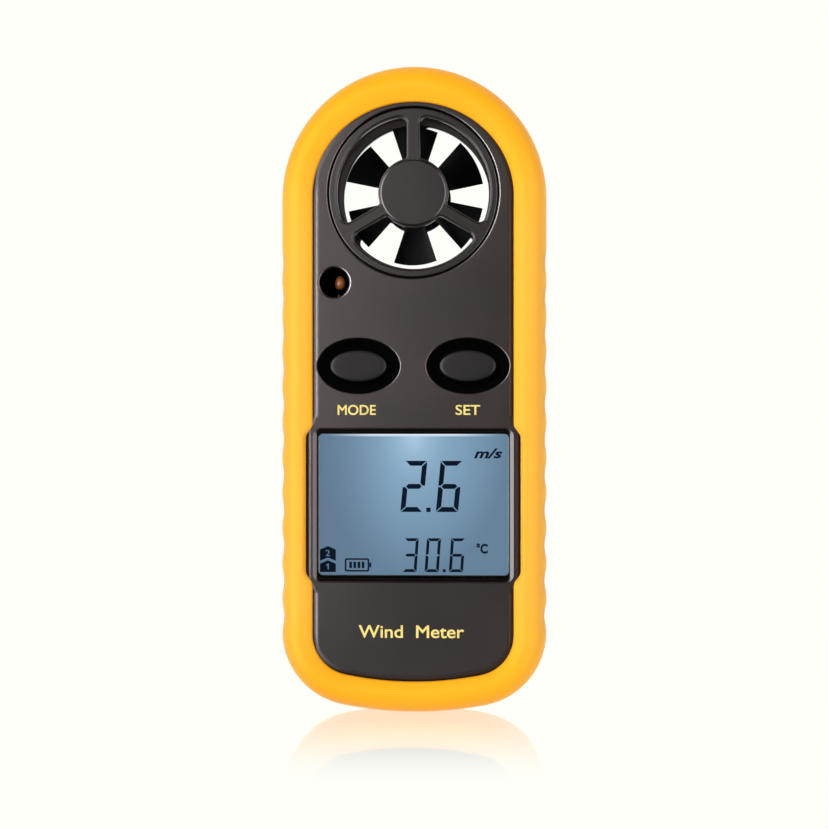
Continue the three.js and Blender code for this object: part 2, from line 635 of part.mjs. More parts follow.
// The sensor's cable: along a strut of the rear guard, out of the duct and down to the board.
function sensorLead() {
  const angle = LEAD_ANGLE * DEG;
  const out = ([radius, y]) => {
    return [radius * Math.cos(angle), y, FAN_Z + radius * Math.sin(angle)];
  };
  return cable([...LEAD_ALONG_STRUT.map(out), ...LEAD_TO_BOARD], LEAD_R, 20, 6);
}

// ---------- display ----------

// The clear window, with a chamfer round its front.
function displayWindow() {
  const { half, low, high, radius, front, back, chamfer } = WINDOW;
  const ring = (y, by) => {
    return { y, points: roundedRect(half - by, low + by, high - by, radius - by).getPoints(3) };
  };
  return loft([ring(front, chamfer), ring(front + chamfer, 0), ring(back, 0)]);
}

function windowTape() {
  const outer = roundedRect(WINDOW.half, WINDOW.low, WINDOW.high, WINDOW.radius);
  outer.holes.push(roundedRect(APERTURE.half, APERTURE.low, APERTURE.high, APERTURE.radius));
  return prism(outer, WINDOW.back + 0.02, WINDOW_SEAT.y - 0.02, 2);
}

function lcdGlass() {
  const { half, low, high, front, back } = LCD;
  const middle = (front + back) / 2;
  const frontSheet = box(-half, half, front, middle, low, high);
  const rearSheet = box(-half, half, middle - 0.01, back, low, high - 1);
  return frontSheet.add(rearSheet);
}

// The frame that holds the display panel over the board, with a lip round the viewing area.
function lcdFrame() {
  const { half, low, high, front, back, viewHalf } = LCD_FRAME;
  const room = GAP / 2;
  const panel = LCD.half + room;
  const inside = box(-panel, panel, LCD.front - room, back + PAST, LCD.low - room, LCD.high + room);
  const view = box(-viewHalf, viewHalf, front - PAST, LCD.front, LCD_VIEW.low, LCD_VIEW.high);
  return cutBy(box(-half, half, front, back, low, high), [inside, view]);
}

function backlightGuide() {
  const { half, low, high, front, back } = GUIDE;
  const notchHalf = LED.half + LED.room;
  const notchLow = high - LED.height - LED.room;
  const notch = box(-notchHalf, notchHalf, front - PAST, back + PAST, notchLow, high + PAST);
  return box(-half, half, front, back, low, high).subtract(notch);
}

function backlightLed() {
  return box(-LED.half, LED.half, LED.front, BOARD.front - 2 * SLIP, GUIDE.high - LED.height, GUIDE.high);
}

function connectorStrip() {
  const { half, low, high } = CONNECTOR;
  return box(-half, half, LCD.back + SLIP, BOARD.front - SLIP, low, high);
}

// ---------- buttons and switches ----------

// A button cap: crowned top, straight sides, a flange under the casing and a stem for the switch.
function buttonCap() {
  const { halfX, halfZ, topX, topZ, crown, shoulder, edge } = BUTTON;
  const ring = (y, a, b) => ({ y, points: ellipsePoints(a, b, 32) });
  const top = loft([
    ring(crown, topX, topZ),
    ring(crown + edge, (topX + halfX) / 2, (topZ + halfZ) / 2),
    ring(shoulder, halfX, halfZ),
    ring(FLANGE.front + OVERLAP, halfX, halfZ),
  ]);
  const flange = oval(FLANGE.halfX, FLANGE.halfZ, FLANGE.front, FLANGE.back);
  const stem = disc(STEM.r, FLANGE.back - OVERLAP, STEM.back, { sides: 24 });
  return joined([top, flange, stem]);
}

function switchBody() {
  const { half, front, boreR, boreDepth } = SWITCH;
  const body = box(-half, half, front, BOARD.front - SLIP, -half, half);
  return body.subtract(disc(boreR, front - PAST, front + boreDepth, { sides: 24 }));
}

const switchPlunger = () => disc(PLUNGER.r, PLUNGER.front, PLUNGER.back, { sides: 24 });

// ---------- board ----------

function circuitBoard() {
  const outline = new THREE.Shape(outlinePoints(inset(CASE, BOARD.inset)));
  const sheet = prism(outline, BOARD.front, BOARD.back, 1);
  const span = box(-CASE.half, CASE.half, BOARD.front - PAST, BOARD.back + PAST, BOARD.low, BOARD.high);
  const holes = [
    ...CASE_SCREWS.map(({ x, z }) => disc(BOARD.caseHoleR, -PAST, PAST, { x, z, sides: 16 })),
    ...BOARD_SCREWS.map(({ x, z }) => disc(BOARD.postHoleR, -PAST, PAST, { x, z, sides: 16 })),
  ];
  return cutBy(sheet.intersect(span), holes);
}

// The chip under its round drop of resin.
const controllerChip = () => turned(CHIP_RESIN, 28);
const crystalCan = () => disc(CRYSTAL.r, -CRYSTAL.half, CRYSTAL.half, { sides: 16 });

function chipCapacitor() {
  const { halfX, halfZ, front, back } = CAPACITOR;
  return box(-halfX, halfX, front, back, -halfZ, halfZ);
}

// A cross-head screw along Y: its head starts at seat and its shank runs forwards to end.
function screw({ headR, seat, head, shankR, end, recess }) {
  const top = seat + head;
  const rim = headR * 0.75;
  const tip = end + shankR;
  const body = turned(
    [[0, end], [shankR * 0.4, end], [shankR, tip], [shankR, seat], [headR, seat], [headR, top - head * 0.4],
      [rim, top], [0, top]],
    14,
  );
  const slot = headR * 0.6;
  const bar = 0.2;
  const cross = [
    box(-slot, slot, top - recess, top + PAST, -bar, bar),
    box(-bar, bar, top - recess, top + PAST, -slot, slot),
  ];
  return cutBy(body, cross);
}

// ---------- temperature sensor ----------

function thermistorBead() {
  const { x, y, z, r, stretch } = BEAD;
  const bead = new THREE.SphereGeometry(r, 12, 8).scale(1, 1, stretch);
  return toSolid(bead.translate(x, y, z));
}

function thermistorLead(side) {
  const x = BEAD.x + side * PROBE_LEAD.spread;
  const start = BEAD.y + BEAD.r * 0.98;
  const padY = BOARD.front - PROBE_LEAD.r - SLIP;
  const [bend, pad, end] = PROBE_LEAD.boardZ;
  const path = [
    [x, start, BEAD.z - 0.2],
    [x, PROBE_LEAD.bendY, BEAD.z - 0.6],
    [x, padY - 2 * SLIP, bend],
    [x, padY, pad],
    [x, padY, end],
  ];
  return cable(path, PROBE_LEAD.r, 16, 6);
}

// ---------- battery ----------

// A coin cell, with its smaller negative face towards the board.
function coinCell() {
  const { r, front, back, rimR, step } = CELL;
  const ledge = front + step;
  return turned([[0, front], [rimR, front], [rimR, ledge], [r, ledge], [r, back], [0, back]], 48);
}

// Bent strip spring under the cell: feet on the board, crest just short of the cell.
function negativeContact() {
  const { width, thick, foot, knee, crest } = SPRING;
  const low = BOARD.back + ON_BOARD;
  const high = CELL.front - SLIP - thick;
  const line = [[-foot, low], [-knee, low], [-crest, high], [crest, high], [knee, low], [foot, low]];
  const shape = new THREE.Shape();
  line.forEach(([z, y], i) => (i ? shape.lineTo(z, y) : shape.moveTo(z, y)));
  [...line].reverse().forEach(([z, y]) => shape.lineTo(z, y + thick));
  const geometry = new THREE.ExtrudeGeometry(shape, { depth: width, bevelEnabled: false });
  return toSolid(geometry.rotateY(-90 * DEG).translate(width / 2, 0, 0));
}

// Upright strip against the cell's rim, with a foot on the board.
function positiveContact() {
  const { half, back, thick, reach } = RIM_CONTACT;
  const low = BOARD.back + ON_BOARD;
  const near = CELL.r + GAP;
  const upright = box(-half, half, low, back, near, near + thick);
  const foot = box(-half, half, low, low + thick, near, near + reach);
  return upright.add(foot);
}

// The round battery cap, with a coin slot and three bayonet lugs.
function batteryCap() {
  const { r, front, face, edge, hollowR, hollow } = CAP;
  const plate = disc(r, front, face - edge, { sides: 40 });
  const chamfer = disc(r, face - edge - 0.01, face, { rHigh: r - edge });
  const lug = lugSector(LUG.outR, LUG.arc, LUG.front, LUG.back);
  const lugs = [0, 1, 2].map((i) => lug.rotate([0, -(LUG.first + 120 * i), 0]));
  const well = disc(hollowR, front - PAST, hollow, { sides: 40 });
  const { half, width, depth } = COIN_SLOT;
  const slot = box(-half, half, face - depth, face + PAST, -width / 2, width / 2);
  return cutBy(joined([plate, chamfer, ...lugs]), [well, slot]);
}

function ratingLabel() {
  const floor = FACE - LABEL.depth + 0.02;
  return prism(roundedRect(LABEL.half, LABEL.low, LABEL.high, LABEL.radius), floor, floor + LABEL.thick, 3);
}

// ---------- assembly ----------

function place(parent, name, solid, material, position = [0, 0, 0]) {
  const mesh = new THREE.Mesh(toGeometry(solid), material);
  mesh.name = name;
  mesh.position.set(...position);
  parent.add(mesh);
  return mesh;
}

function groupAt(parent, x, z) {
  const group = new THREE.Group();
  group.position.set(x, 0, z);
  parent.add(group);
  return group;
}

function buildCasing(meter) {
  place(meter, "holster", holster(), MATERIAL.rubber);
  place(meter, "front_casing", frontCasing(), MATERIAL.casing);
  place(meter, "rear_casing", rearCasing(), MATERIAL.casing);
  place(meter, "rating_label", ratingLabel(), MATERIAL.label);
  const caseScrew = screw(CASE_SCREW);
  for (const { name, x, z } of CASE_SCREWS) place(meter, name, caseScrew, MATERIAL.steel, [x, 0, z]);
}

function buildFan(meter) {
  const fan = groupAt(meter, 0, FAN_Z);
  place(fan, "front_guard", guard(GUARD.frontR), MATERIAL.casing);
  place(fan, "rear_guard", rearGuard(), MATERIAL.casing);
  place(fan, "duct_tube", ductTube(), MATERIAL.casing);
  place(fan, "impeller", impeller(), MATERIAL.vane);
  place(fan, "impeller_shaft", impellerShaft(), MATERIAL.steel);
  place(fan, "impeller_magnet", impellerMagnet(), MATERIAL.magnet);
  place(fan, "front_bearing", bearing(), MATERIAL.brass);
  place(fan, "rear_bearing", bearing(), MATERIAL.brass).rotation.z = Math.PI;
  place(fan, "rotation_sensor", rotationSensor(), MATERIAL.black).rotation.y = -LEAD_ANGLE * DEG;
  place(meter, "sensor_lead", sensorLead(), MATERIAL.black);
}

function buildDisplay(meter) {
  place(meter, "display_window", displayWindow(), MATERIAL.clear);
  place(meter, "window_tape", windowTape(), MATERIAL.tape);
  place(meter, "lcd_glass", lcdGlass(), MATERIAL.display);
  place(meter, "lcd_frame", lcdFrame(), MATERIAL.pale);
  place(meter, "backlight_guide", backlightGuide(), MATERIAL.pale);
  place(meter, "backlight_led", backlightLed(), MATERIAL.led);
  place(meter, "lcd_connector_strip", connectorStrip(), MATERIAL.rubberGrey);
}

function buildButtons(meter) {
  for (const [name, side] of [["mode", -1], ["set", 1]]) {
    const key = groupAt(meter, side * BUTTON_X, BUTTON_Z);
    place(key, name + "_button", buttonCap(), MATERIAL.casing);
    place(key, name + "_switch_plunger", switchPlunger(), MATERIAL.black);
    place(key, name + "_switch", switchBody(), MATERIAL.steel);
  }
}

function buildBoard(meter) {
  place(meter, "circuit_board", circuitBoard(), MATERIAL.board);
  place(meter, "controller_chip", controllerChip(), MATERIAL.black, CHIP_PLACE);
  const crystal = place(meter, "crystal_can", crystalCan(), MATERIAL.steel, CRYSTAL.place);
  crystal.rotation.z = 90 * DEG;
  place(meter, "chip_capacitor", chipCapacitor(), MATERIAL.tan, CAPACITOR.place);
  const boardScrew = screw(BOARD_SCREW);
  for (const { name, x, z } of BOARD_SCREWS) place(meter, name, boardScrew, MATERIAL.steel, [x, 0, z]);
  place(meter, "thermistor_bead", thermistorBead(), MATERIAL.amber);
  place(meter, "thermistor_lead_left", thermistorLead(-1), MATERIAL.steel);
  place(meter, "thermistor_lead_right", thermistorLead(1), MATERIAL.steel);
}

function buildBattery(meter) {
  const battery = groupAt(meter, 0, CELL_Z);
  place(battery, "coin_cell", coinCell(), MATERIAL.steel);
  place(battery, "battery_contact_negative", negativeContact(), MATERIAL.brass);
  place(battery, "battery_contact_positive", positiveContact(), MATERIAL.brass);
  place(battery, "battery_cap", batteryCap(), MATERIAL.casing);
}

const meter = new THREE.Group();
buildCasing(meter);
buildFan(meter);
buildDisplay(meter);
buildButtons(meter);
buildBoard(meter);
buildBattery(meter);

export default meter;
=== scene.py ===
"""The looks of a handheld weather meter in a rubber holster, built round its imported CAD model.

Lengths in this script are millimetres, and become metres where a mesh is made. +Z runs up the meter
and -Y points out of its face, so an outline is drawn in X and Z and gets its depth along Y.
"""
import json
import math

import bmesh
import bpy
import numpy as np
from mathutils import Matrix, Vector
from mathutils.geometry import tessellate_polygon


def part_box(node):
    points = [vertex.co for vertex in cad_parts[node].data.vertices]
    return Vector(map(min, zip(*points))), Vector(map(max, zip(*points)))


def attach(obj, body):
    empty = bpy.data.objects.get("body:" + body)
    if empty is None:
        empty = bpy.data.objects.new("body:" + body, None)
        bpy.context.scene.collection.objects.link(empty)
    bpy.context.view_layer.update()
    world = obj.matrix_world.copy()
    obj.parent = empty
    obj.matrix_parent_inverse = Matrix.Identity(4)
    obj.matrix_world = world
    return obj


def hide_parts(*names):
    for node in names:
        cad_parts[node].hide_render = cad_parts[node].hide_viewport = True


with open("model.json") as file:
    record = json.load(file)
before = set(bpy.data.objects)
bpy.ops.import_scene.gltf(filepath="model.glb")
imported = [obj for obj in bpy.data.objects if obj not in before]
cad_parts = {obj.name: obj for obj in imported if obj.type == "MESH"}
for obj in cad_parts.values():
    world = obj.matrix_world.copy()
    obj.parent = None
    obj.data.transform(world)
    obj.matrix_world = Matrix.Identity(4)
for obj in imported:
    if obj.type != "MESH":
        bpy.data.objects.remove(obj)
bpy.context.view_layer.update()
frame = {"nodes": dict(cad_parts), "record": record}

MM = 0.001
SLOTS = {part["node"]: part["material_slot"] for part in frame["record"]["subparts"]}


def middle(node):
    """The centre of a CAD node."""
    low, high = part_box(node)
    return (low + high) / 2 / MM


def depths(node):
    """Where a CAD node begins and ends along Y."""
    low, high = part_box(node)
    return low.y / MM, high.y / MM


def places(start):
    """The (x, z) centres of the CAD nodes whose names start alike."""
    return [(middle(node).x, middle(node).z) for node in SLOTS if node.startswith(start)]


# ---------- driving dimensions ----------


class Form:
    """An outline: straight sides, an elliptical top, and a bottom arc with corner arcs."""

    def __init__(self, half, bottom, corner, bottom_r, top_z, top_a, top_b):
        self.half, self.bottom, self.corner, self.bottom_r = half, bottom, corner, bottom_r
        self.top_z, self.top_a, self.top_b = top_z, top_a, top_b

    def inset(self, by):
        return Form(self.half - by, self.bottom + by, self.corner - by, self.bottom_r - by,
                    self.top_z, self.top_a - by, self.top_b - by)


CASE = Form(20, 3.5, 10, 62, 88.5, 20, 20)
SLEEVE = Form(23, 0, 13, 66, 89, 23, 23)
MOUTH = Form(17.32, 5.65, 7, 58, 89.3, 17.32, 16.1)

FACE = 7.5  # half the casing's thickness
SHOULDER = 4.0  # how deep the casing's rounded long edges reach
SHOULDER_REACH = 3.2  # and how far across the face
WALL = 1.6
CEILING = FACE - WALL  # the flat inside of either casing half
INNER_CORNER = 1.0
PARTING = {"front": 0.3, "rear": 0.4}  # how far each casing half stops from the middle plane
CHAMFER = 0.12
SLEEVE_FACE = 9.5  # half the holster's thickness
GAP = 0.15  # between the casing and the holster
SAME_PLACE = 0.0001  # points that are closer than this are one point

# The finger grooves down the sides of the holster
GRIP = {"top": 77.9, "pitch": 6.13, "count": 11, "top_depth": 0.2, "low_depth": 0.38}
GRIP_LOW = GRIP["top"] - GRIP["pitch"] * (GRIP["count"] - 1)
GRIP_REACH = GRIP["pitch"] / 2
# The step in the holster's mouth beside the display
NOTCH = {"out": 1.2, "low": 22.3, "high": 49.9, "slope": 2.2}

FAN_Z = middle("impeller_shaft").z
GUARD_R = 14.6
SEAT_R = 14.8
DUCT_R = 13.0
STRUTS = (90, 210, 330)
LEAD_ANGLE = STRUTS[2]  # the strut that the sensor's cable follows

# The swelling of the casing's face beside the display
BULGE = {"flat": 17.7, "edge_r": 0.7, "low": 21.6, "full_low": 23.4, "full_high": 48.8, "high": 50.6}
# Rounded rectangles: half width, low, high, corner radius
APERTURE = (16.5, 23.85, 48.25, 0.8)
SEAT = (16.95, 22.95, 48.95, 1.15)
PANE = (16.8, 23.1, 48.8, 1.0)
FILM = (16.4, 23.71, 48.39, 0.3)
SEAT_DEPTH = -6.2
LIP = {"out": 0.3, "in": -0.33, "y": -7.06}  # the bevel round the window, from its mouth to its inner edge

BUTTON_X = middle("set_button").x
BUTTON_Z = middle("set_button").z
PROBE = (-13.6, 74.4)
PROBE_R = 2.5
CASE_SCREWS = places("case_screw")
BOARD_SCREWS = places("board_screw")

CELL_Z = middle("coin_cell").z
CAP_TURN = 45  # degrees from locked to free
CAP_R = 11.0
LUG = {"reach": 12.25, "half_arc": 10}  # on the battery cap
LUG_NOTCH = {"reach": 12.45, "half_arc": 13}  # in the casing

LCD_FACE = depths("lcd_glass")[0]
FILM_FACE = LCD_FACE - 0.1
INK_FACE = FILM_FACE - 0.02
PRINT_FACE = -FACE - 0.03

# ---------- meshes ----------


class Skin:
    """Collects the vertices and faces of one piece."""

    def __init__(self):
        self.bm = bmesh.new()

    def point(self, x, y, z):
        return self.bm.verts.new((x * MM, y * MM, z * MM))

    def ring(self, points, y):
        """Vertices at (x, z) points, with one depth or a depth for each point."""
        return [self.point(x, d, z) for (x, z), d in zip(points, np.broadcast_to(y, len(points)))]

    def rings(self, contour, profile, side=1):
        """A ring for each (grow, depth) of a profile round a contour, towards +Y (1) or -Y (-1)."""
        return [self.ring(contour(grow), side * depth) for grow, depth in profile]

    def tube(self, rings, closed=False):
        """Bridges each ring to the next. A closed tube also joins the last to the first."""
        follow = [*rings[1:], rings[0]] if closed else rings[1:]
        for first, second in zip(rings, follow):
            for i in range(len(first)):
                j = (i + 1) % len(first)
                self.bm.faces.new((first[i], second[i], second[j], first[j]))

    def cap(self, outer, *holes):
        """Fills a flat outline that may have holes in it."""
        corners = [vertex for ring in (outer, *holes) for vertex in ring]
        loops = [[Vector((v.co.x / MM, v.co.z / MM, 0)) for v in ring] for ring in (outer, *holes)]
        for triangle in tessellate_polygon(loops):
            self.bm.faces.new([corners[i] for i in triangle])
        for ring in (outer, *holes):
            for i, vertex in enumerate(ring):
                self.bm.edges.get((vertex, ring[i - 1])).smooth = False

    def solid(self, outer, holes=(), front_pits=(), back_pits=()):
        """A plate. Each argument holds lists of rings that run from the front face to the back one.

        A pit, or a boss, starts on one of the faces and ends in a floor of its own.
        """
        for rings in (outer, *holes, *front_pits, *back_pits):
            self.tube(rings)
        self.cap(outer[0], *(rings[0] for rings in (*holes, *front_pits)))
        self.cap(outer[-1], *(rings[-1] for rings in holes), *(rings[0] for rings in back_pits))
        for rings in (*front_pits, *back_pits):
            self.cap(rings[-1])

    def mesh(self, name, sharp=35):
        """The finished mesh. Edges steeper than an angle in degrees, and the edges of caps, are sharp."""
        bmesh.ops.remove_doubles(self.bm, verts=self.bm.verts, dist=SAME_PLACE * MM)
        bmesh.ops.recalc_face_normals(self.bm, faces=self.bm.faces)
        for edge in self.bm.edges:
            edge.smooth = edge.smooth and edge.calc_face_angle(0) < math.radians(sharp)
        data = bpy.data.meshes.new(name)
        self.bm.to_mesh(data)
        self.bm.free()
        return data


def ellipse(a, b, x=0.0, z=0.0, count=96):
    turn = np.linspace(0, 2 * np.pi, count, endpoint=False)
    return np.stack([x + a * np.cos(turn), z + b * np.sin(turn)], 1)


def circle(radius, x=0.0, z=0.0, count=96):
    return ellipse(radius, radius, x, z, count)


def about_fan(radius):
    return circle(radius, 0, FAN_Z, 128)


def about_cell(radius):
    return circle(radius, 0, CELL_Z, 180)


def arc(radius, x, z, start, end, steps):
    """Points of an arc, with its ends. Angles in degrees."""
    turn = np.radians(np.linspace(start, end, steps + 1))
    return np.stack([x + radius * np.cos(turn), z + radius * np.sin(turn)], 1)


def rounded_rect(half, low, high, radius, steps=8):
    corners = [(half - radius, low + radius, -90), (half - radius, high - radius, 0),
               (radius - half, high - radius, 90), (radius - half, low + radius, 180)]
    return np.concatenate([arc(radius, x, z, a, a + 90, steps) for x, z, a in corners])


def grown(rect):
    """The contour of a rounded rectangle that grows by a distance."""
    half, low, high, radius = rect
    return lambda by: rounded_rect(half + by, low - by, high + by, radius + by)


def outline(form, stations, shift=0.0, end_steps=14, top_steps=60):
    """Points of an outline, anticlockwise from the bottom centre, seen from the front.

    Stations are heights on the straight sides, and shift moves the sides outwards there.
    """
    arc_z = form.bottom + form.bottom_r
    corner_x = form.half - form.corner
    corner_z = arc_z - math.sqrt((form.bottom_r - form.corner) ** 2 - corner_x ** 2)
    meet = math.atan2(corner_z - arc_z, corner_x)
    bottom = np.linspace(-math.pi / 2, meet, end_steps, endpoint=False)
    corner = np.linspace(meet, 0, end_steps + 1)
    top = np.linspace(0, math.pi / 2, top_steps + 1)
    right = np.concatenate([
        np.stack([form.bottom_r * np.cos(bottom), arc_z + form.bottom_r * np.sin(bottom)], 1),
        np.stack([corner_x + form.corner * np.cos(corner), corner_z + form.corner * np.sin(corner)], 1),
        np.stack([np.broadcast_to(form.half + shift, len(stations)), stations], 1),
        np.stack([form.top_a * np.cos(top), form.top_z + form.top_b * np.sin(top)], 1),
    ])
    left = right[1:-1][::-1] * (-1, 1)
    return np.concatenate([right, left])


def smooth(low, high, value):
    """0 below low, 1 above high, and a smooth step between them."""
    t = np.clip((np.asarray(value, float) - low) / (high - low), 0, 1)
    return t * t * (3 - 2 * t)


def rounded(radius, face, steps=5):
    """Profile of a hole's rounded edge, from a flat face down to the hole's wall."""
    turns = np.linspace(0, math.pi / 2, steps + 1)
    return [(radius * (1 - math.sin(t)), face - radius * (1 - math.cos(t))) for t in turns]


def rounded_outside(radius, face, steps=4):
    """Profile of a plate's rounded outer edge."""
    return [(-grow, y) for grow, y in rounded(radius, face, steps)]


def rim(radius, edge):
    """The rounded rim of a round hole in the casing, as (radius, depth) pairs."""
    return [(radius + grow, y) for grow, y in rounded(edge, FACE)]


# ---------- finishing a piece ----------


def new_object(name, data):
    made = bpy.data.objects.new(name, data)
    bpy.context.scene.collection.objects.link(made)
    return made


def finish_piece(shape, name, node=None, body="meter", slot=None, ink=None, subdivide=0):
    """Makes the object, shades it, puts it on its body and lets it stand for its CAD node.

    An ink is a finish other than the one of the piece's material slot.
    """
    data = shape.mesh(name) if isinstance(shape, Skin) else shape
    slot = slot or SLOTS[node]
    piece = new_object(name, data)
    data.materials.clear()
    data.materials.append(INKS[ink] if ink else PAINTS[slot])
    data.shade_smooth()
    if subdivide:
        surface = piece.modifiers.new("Surface", "SUBSURF")
        surface.levels = surface.render_levels = subdivide
    else:
        piece.modifiers.new("Normals", "WEIGHTED_NORMAL").keep_sharp = True
    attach(piece, body)
    if node:
        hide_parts(node)
    return piece


# ---------- holster ----------

SIDE_STATIONS = np.linspace(15.4, 87.6, 190)
# Rounded flank, as (inset, depth, share of the grooves) from the middle outwards
FLANK = ((0, 3.2, 1), (0.06, 4.9, 0.95), (0.42, 6.7, 0.7), (1.15, 8.2, 0.3), (2.2, 9.15, 0.05))
# Lips, as (share of the way from the crest to the mouth, depth)
FRONT_LIP = ((0, SLEEVE_FACE), (0.45, 9.22), (0.8, 8.85), (0.96, 8.62), (1, 8.4), (1, 8.0))
REAR_LIP = ((1, 8.3), (1, 9.2), (0.97, 9.44), (0.88, SLEEVE_FACE), (0.4, SLEEVE_FACE), (0, SLEEVE_FACE))
FRONT_CREST, REAR_CREST = 3.9, 3.7
FRONT_BROW, REAR_BROW = (3.2, SLEEVE_FACE), (3.1, 9.46)  # the (inset, depth) where each lip begins
UNDERSIDE = (0, 0.06, 0.35, 0.7, 0.94, 1)  # shares of the way from the mouth in to the casing's side


def grip_depth(z):
    """Depth of the finger grooves at a height."""
    share = (GRIP["top"] - z) / (GRIP["top"] - GRIP_LOW)
    depth = GRIP["top_depth"] + (GRIP["low_depth"] - GRIP["top_depth"]) * share
    wave = (1 + np.cos((z - GRIP["top"]) / GRIP["pitch"] * 2 * np.pi)) / 2
    return depth * wave * (z > GRIP_LOW - GRIP_REACH) * (z < GRIP["top"] + GRIP_REACH)


def notch_shift(z):
    """How far the holster's mouth steps out beside the display."""
    low, high, slope = NOTCH["low"], NOTCH["high"], NOTCH["slope"]
    return NOTCH["out"] * smooth(low, low + slope, z) * smooth(high, high - slope, z)


def case_depth(inward, grow):
    """Half thickness of the casing's rounded edge, a distance inwards from its outline."""
    across = np.clip((SHOULDER_REACH - inward) / (SHOULDER_REACH + grow), 0, 1)
    return FACE - SHOULDER + (SHOULDER + grow) * np.sqrt(1 - across ** 2)


def build_holster():
    z = SIDE_STATIONS
    grooves = -grip_depth(z)
    inner = outline(CASE.inset(-GAP), z)
    casing = outline(CASE, z)
    skin = Skin()
    rings = []

    def sleeve(by, y, grip=0.0):
        rings.append(skin.ring(outline(SLEEVE.inset(by), z, grooves * grip), y))

    def between(first, second, share, y):
        rings.append(skin.ring(first + (second - first) * share, y))

    def underside(mouth, share, side):
        reach = np.linalg.norm(mouth - casing, axis=1)
        between(mouth, inner, share, side * case_depth(reach * (1 - share), GAP))

    sleeve(0, 0, 1)
    for by, depth, grip in FLANK:
        sleeve(by, -depth, grip)
    sleeve(FRONT_BROW[0], -FRONT_BROW[1])
    crest, mouth = outline(SLEEVE.inset(FRONT_CREST), z), outline(MOUTH, z, notch_shift(z))
    for share, depth in FRONT_LIP:
        between(crest, mouth, share, -depth)
    for share in UNDERSIDE:
        underside(mouth, share, -1)
    rings.append(skin.ring(inner, 0))
    crest, mouth = outline(SLEEVE.inset(REAR_CREST), z), outline(MOUTH, z)
    for share in reversed(UNDERSIDE):
        underside(mouth, share, 1)
    for share, depth in REAR_LIP:
        between(crest, mouth, share, depth)
    sleeve(*REAR_BROW)
    for by, depth, grip in reversed(FLANK):
        sleeve(by, depth, grip)
    skin.tube(rings, closed=True)
    finish_piece(skin, "holster_sleeve", "holster", subdivide=1)


# ---------- casing ----------

CASE_STATIONS = np.concatenate([np.linspace(16, 21, 4), np.linspace(21.3, 24, 13), np.linspace(26, 46, 6),
                                np.linspace(48.2, 50.9, 13), np.linspace(53, 87, 10)])
# Ovals, as (half width, half height, depth)
DISH = ((7.33, 4.93, 7.5), (7.26, 4.87, 7.48), (7.2, 4.82, 7.42), (7.15, 4.77, 7.33), (7.0, 4.64, 7.1),
        (6.4, 4.12, 6.3), (5.9, 3.68, 5.85), (5.55, 3.35, 5.6), (5.55, 3.35, 4.6), (6.5, 4.3, 4.6),
        (6.5, 4.3, CEILING))
KEY_EDGE = ((4.65, 2.52, 7.63), (4.82, 2.66, 7.5), (4.95, 2.78, 7.25), (5.12, 2.94, 6.8), (5.28, 3.08, 6.3),
            (5.35, 3.15, 5.9), (5.35, 3.15, 4.45), (6.1, 3.85, 4.45), (6.2, 3.95, 4.35), (6.2, 3.95, 3.75),
            (6.15, 3.9, 3.7))


def bulge_share(z):
    """How much of the swelling beside the display is there at a height."""
    return smooth(BULGE["low"], BULGE["full_low"], z) * smooth(BULGE["high"], BULGE["full_high"], z)


def shell_rings(skin, side, parting, bulging):
    """The outer skin of a casing half, from its face round to the flat ceiling inside it."""
    centre = FACE - SHOULDER
    meet_inset = CASE.half - BULGE["flat"] - BULGE["edge_r"]
    meet = math.asin(1 - meet_inset / SHOULDER_REACH)
    drop = SHOULDER * (1 - math.cos(meet))
    share = bulge_share(CASE_STATIONS) if bulging else np.zeros(len(CASE_STATIONS))
    share_all = bulge_share(outline(CASE, CASE_STATIONS)[:, 1]) if bulging else 0.0
    rings = []

    def ring(inset, depth, swollen=None):
        """Adds a ring, with the (inset, depth) that it has where the face is swollen."""
        swollen_inset, swollen_depth = swollen or (inset, depth)
        points = outline(CASE.inset(inset), CASE_STATIONS, share * (inset - swollen_inset))
        rings.append(skin.ring(points, side * (depth + share_all * (swollen_depth - depth))))

    def shoulder(turn):
        return SHOULDER_REACH * (1 - math.sin(turn)), centre + SHOULDER * math.cos(turn)

    steps = 6
    for i in range(steps + 1):
        corner = math.pi / 2 * i / steps
        ring(*shoulder(meet * i / steps), (meet_inset + BULGE["edge_r"] * (1 - math.sin(corner)),
                                           FACE - drop * (1 - math.cos(corner))))
    for turn in np.linspace(meet, math.pi / 2, 8)[1:]:
        ring(*shoulder(turn))
    inner = CEILING - INNER_CORNER
    for inset, depth in ((0, parting + CHAMFER), (CHAMFER, parting), (WALL - CHAMFER, parting),
                         (WALL, parting + CHAMFER), (WALL, inner)):
        ring(inset, depth)
    for turn in np.linspace(0, math.pi / 2, 5)[1:]:
        ring(WALL + INNER_CORNER * (1 - math.cos(turn)), inner + INNER_CORNER * math.sin(turn))
    return rings


def hole(skin, side, x, z, profile):
    """Rings of a round hole or boss from (radius, depth) pairs."""
    return skin.rings(lambda radius: circle(radius, x, z, 64), profile, side)


def fan_hole(skin, side):
    step = {"r": 15.35, "y": CEILING + 0.28}
    profile = [*rim(SEAT_R, 0.3), (SEAT_R, step["y"]), (step["r"], step["y"]), (step["r"], CEILING)]
    return skin.rings(about_fan, profile, side)


def ovals(skin, x, sizes):
    """Rings of a button or of the dish round it."""
    return [skin.ring(ellipse(a, b, x, BUTTON_Z, 80), -depth) for a, b, depth in sizes]


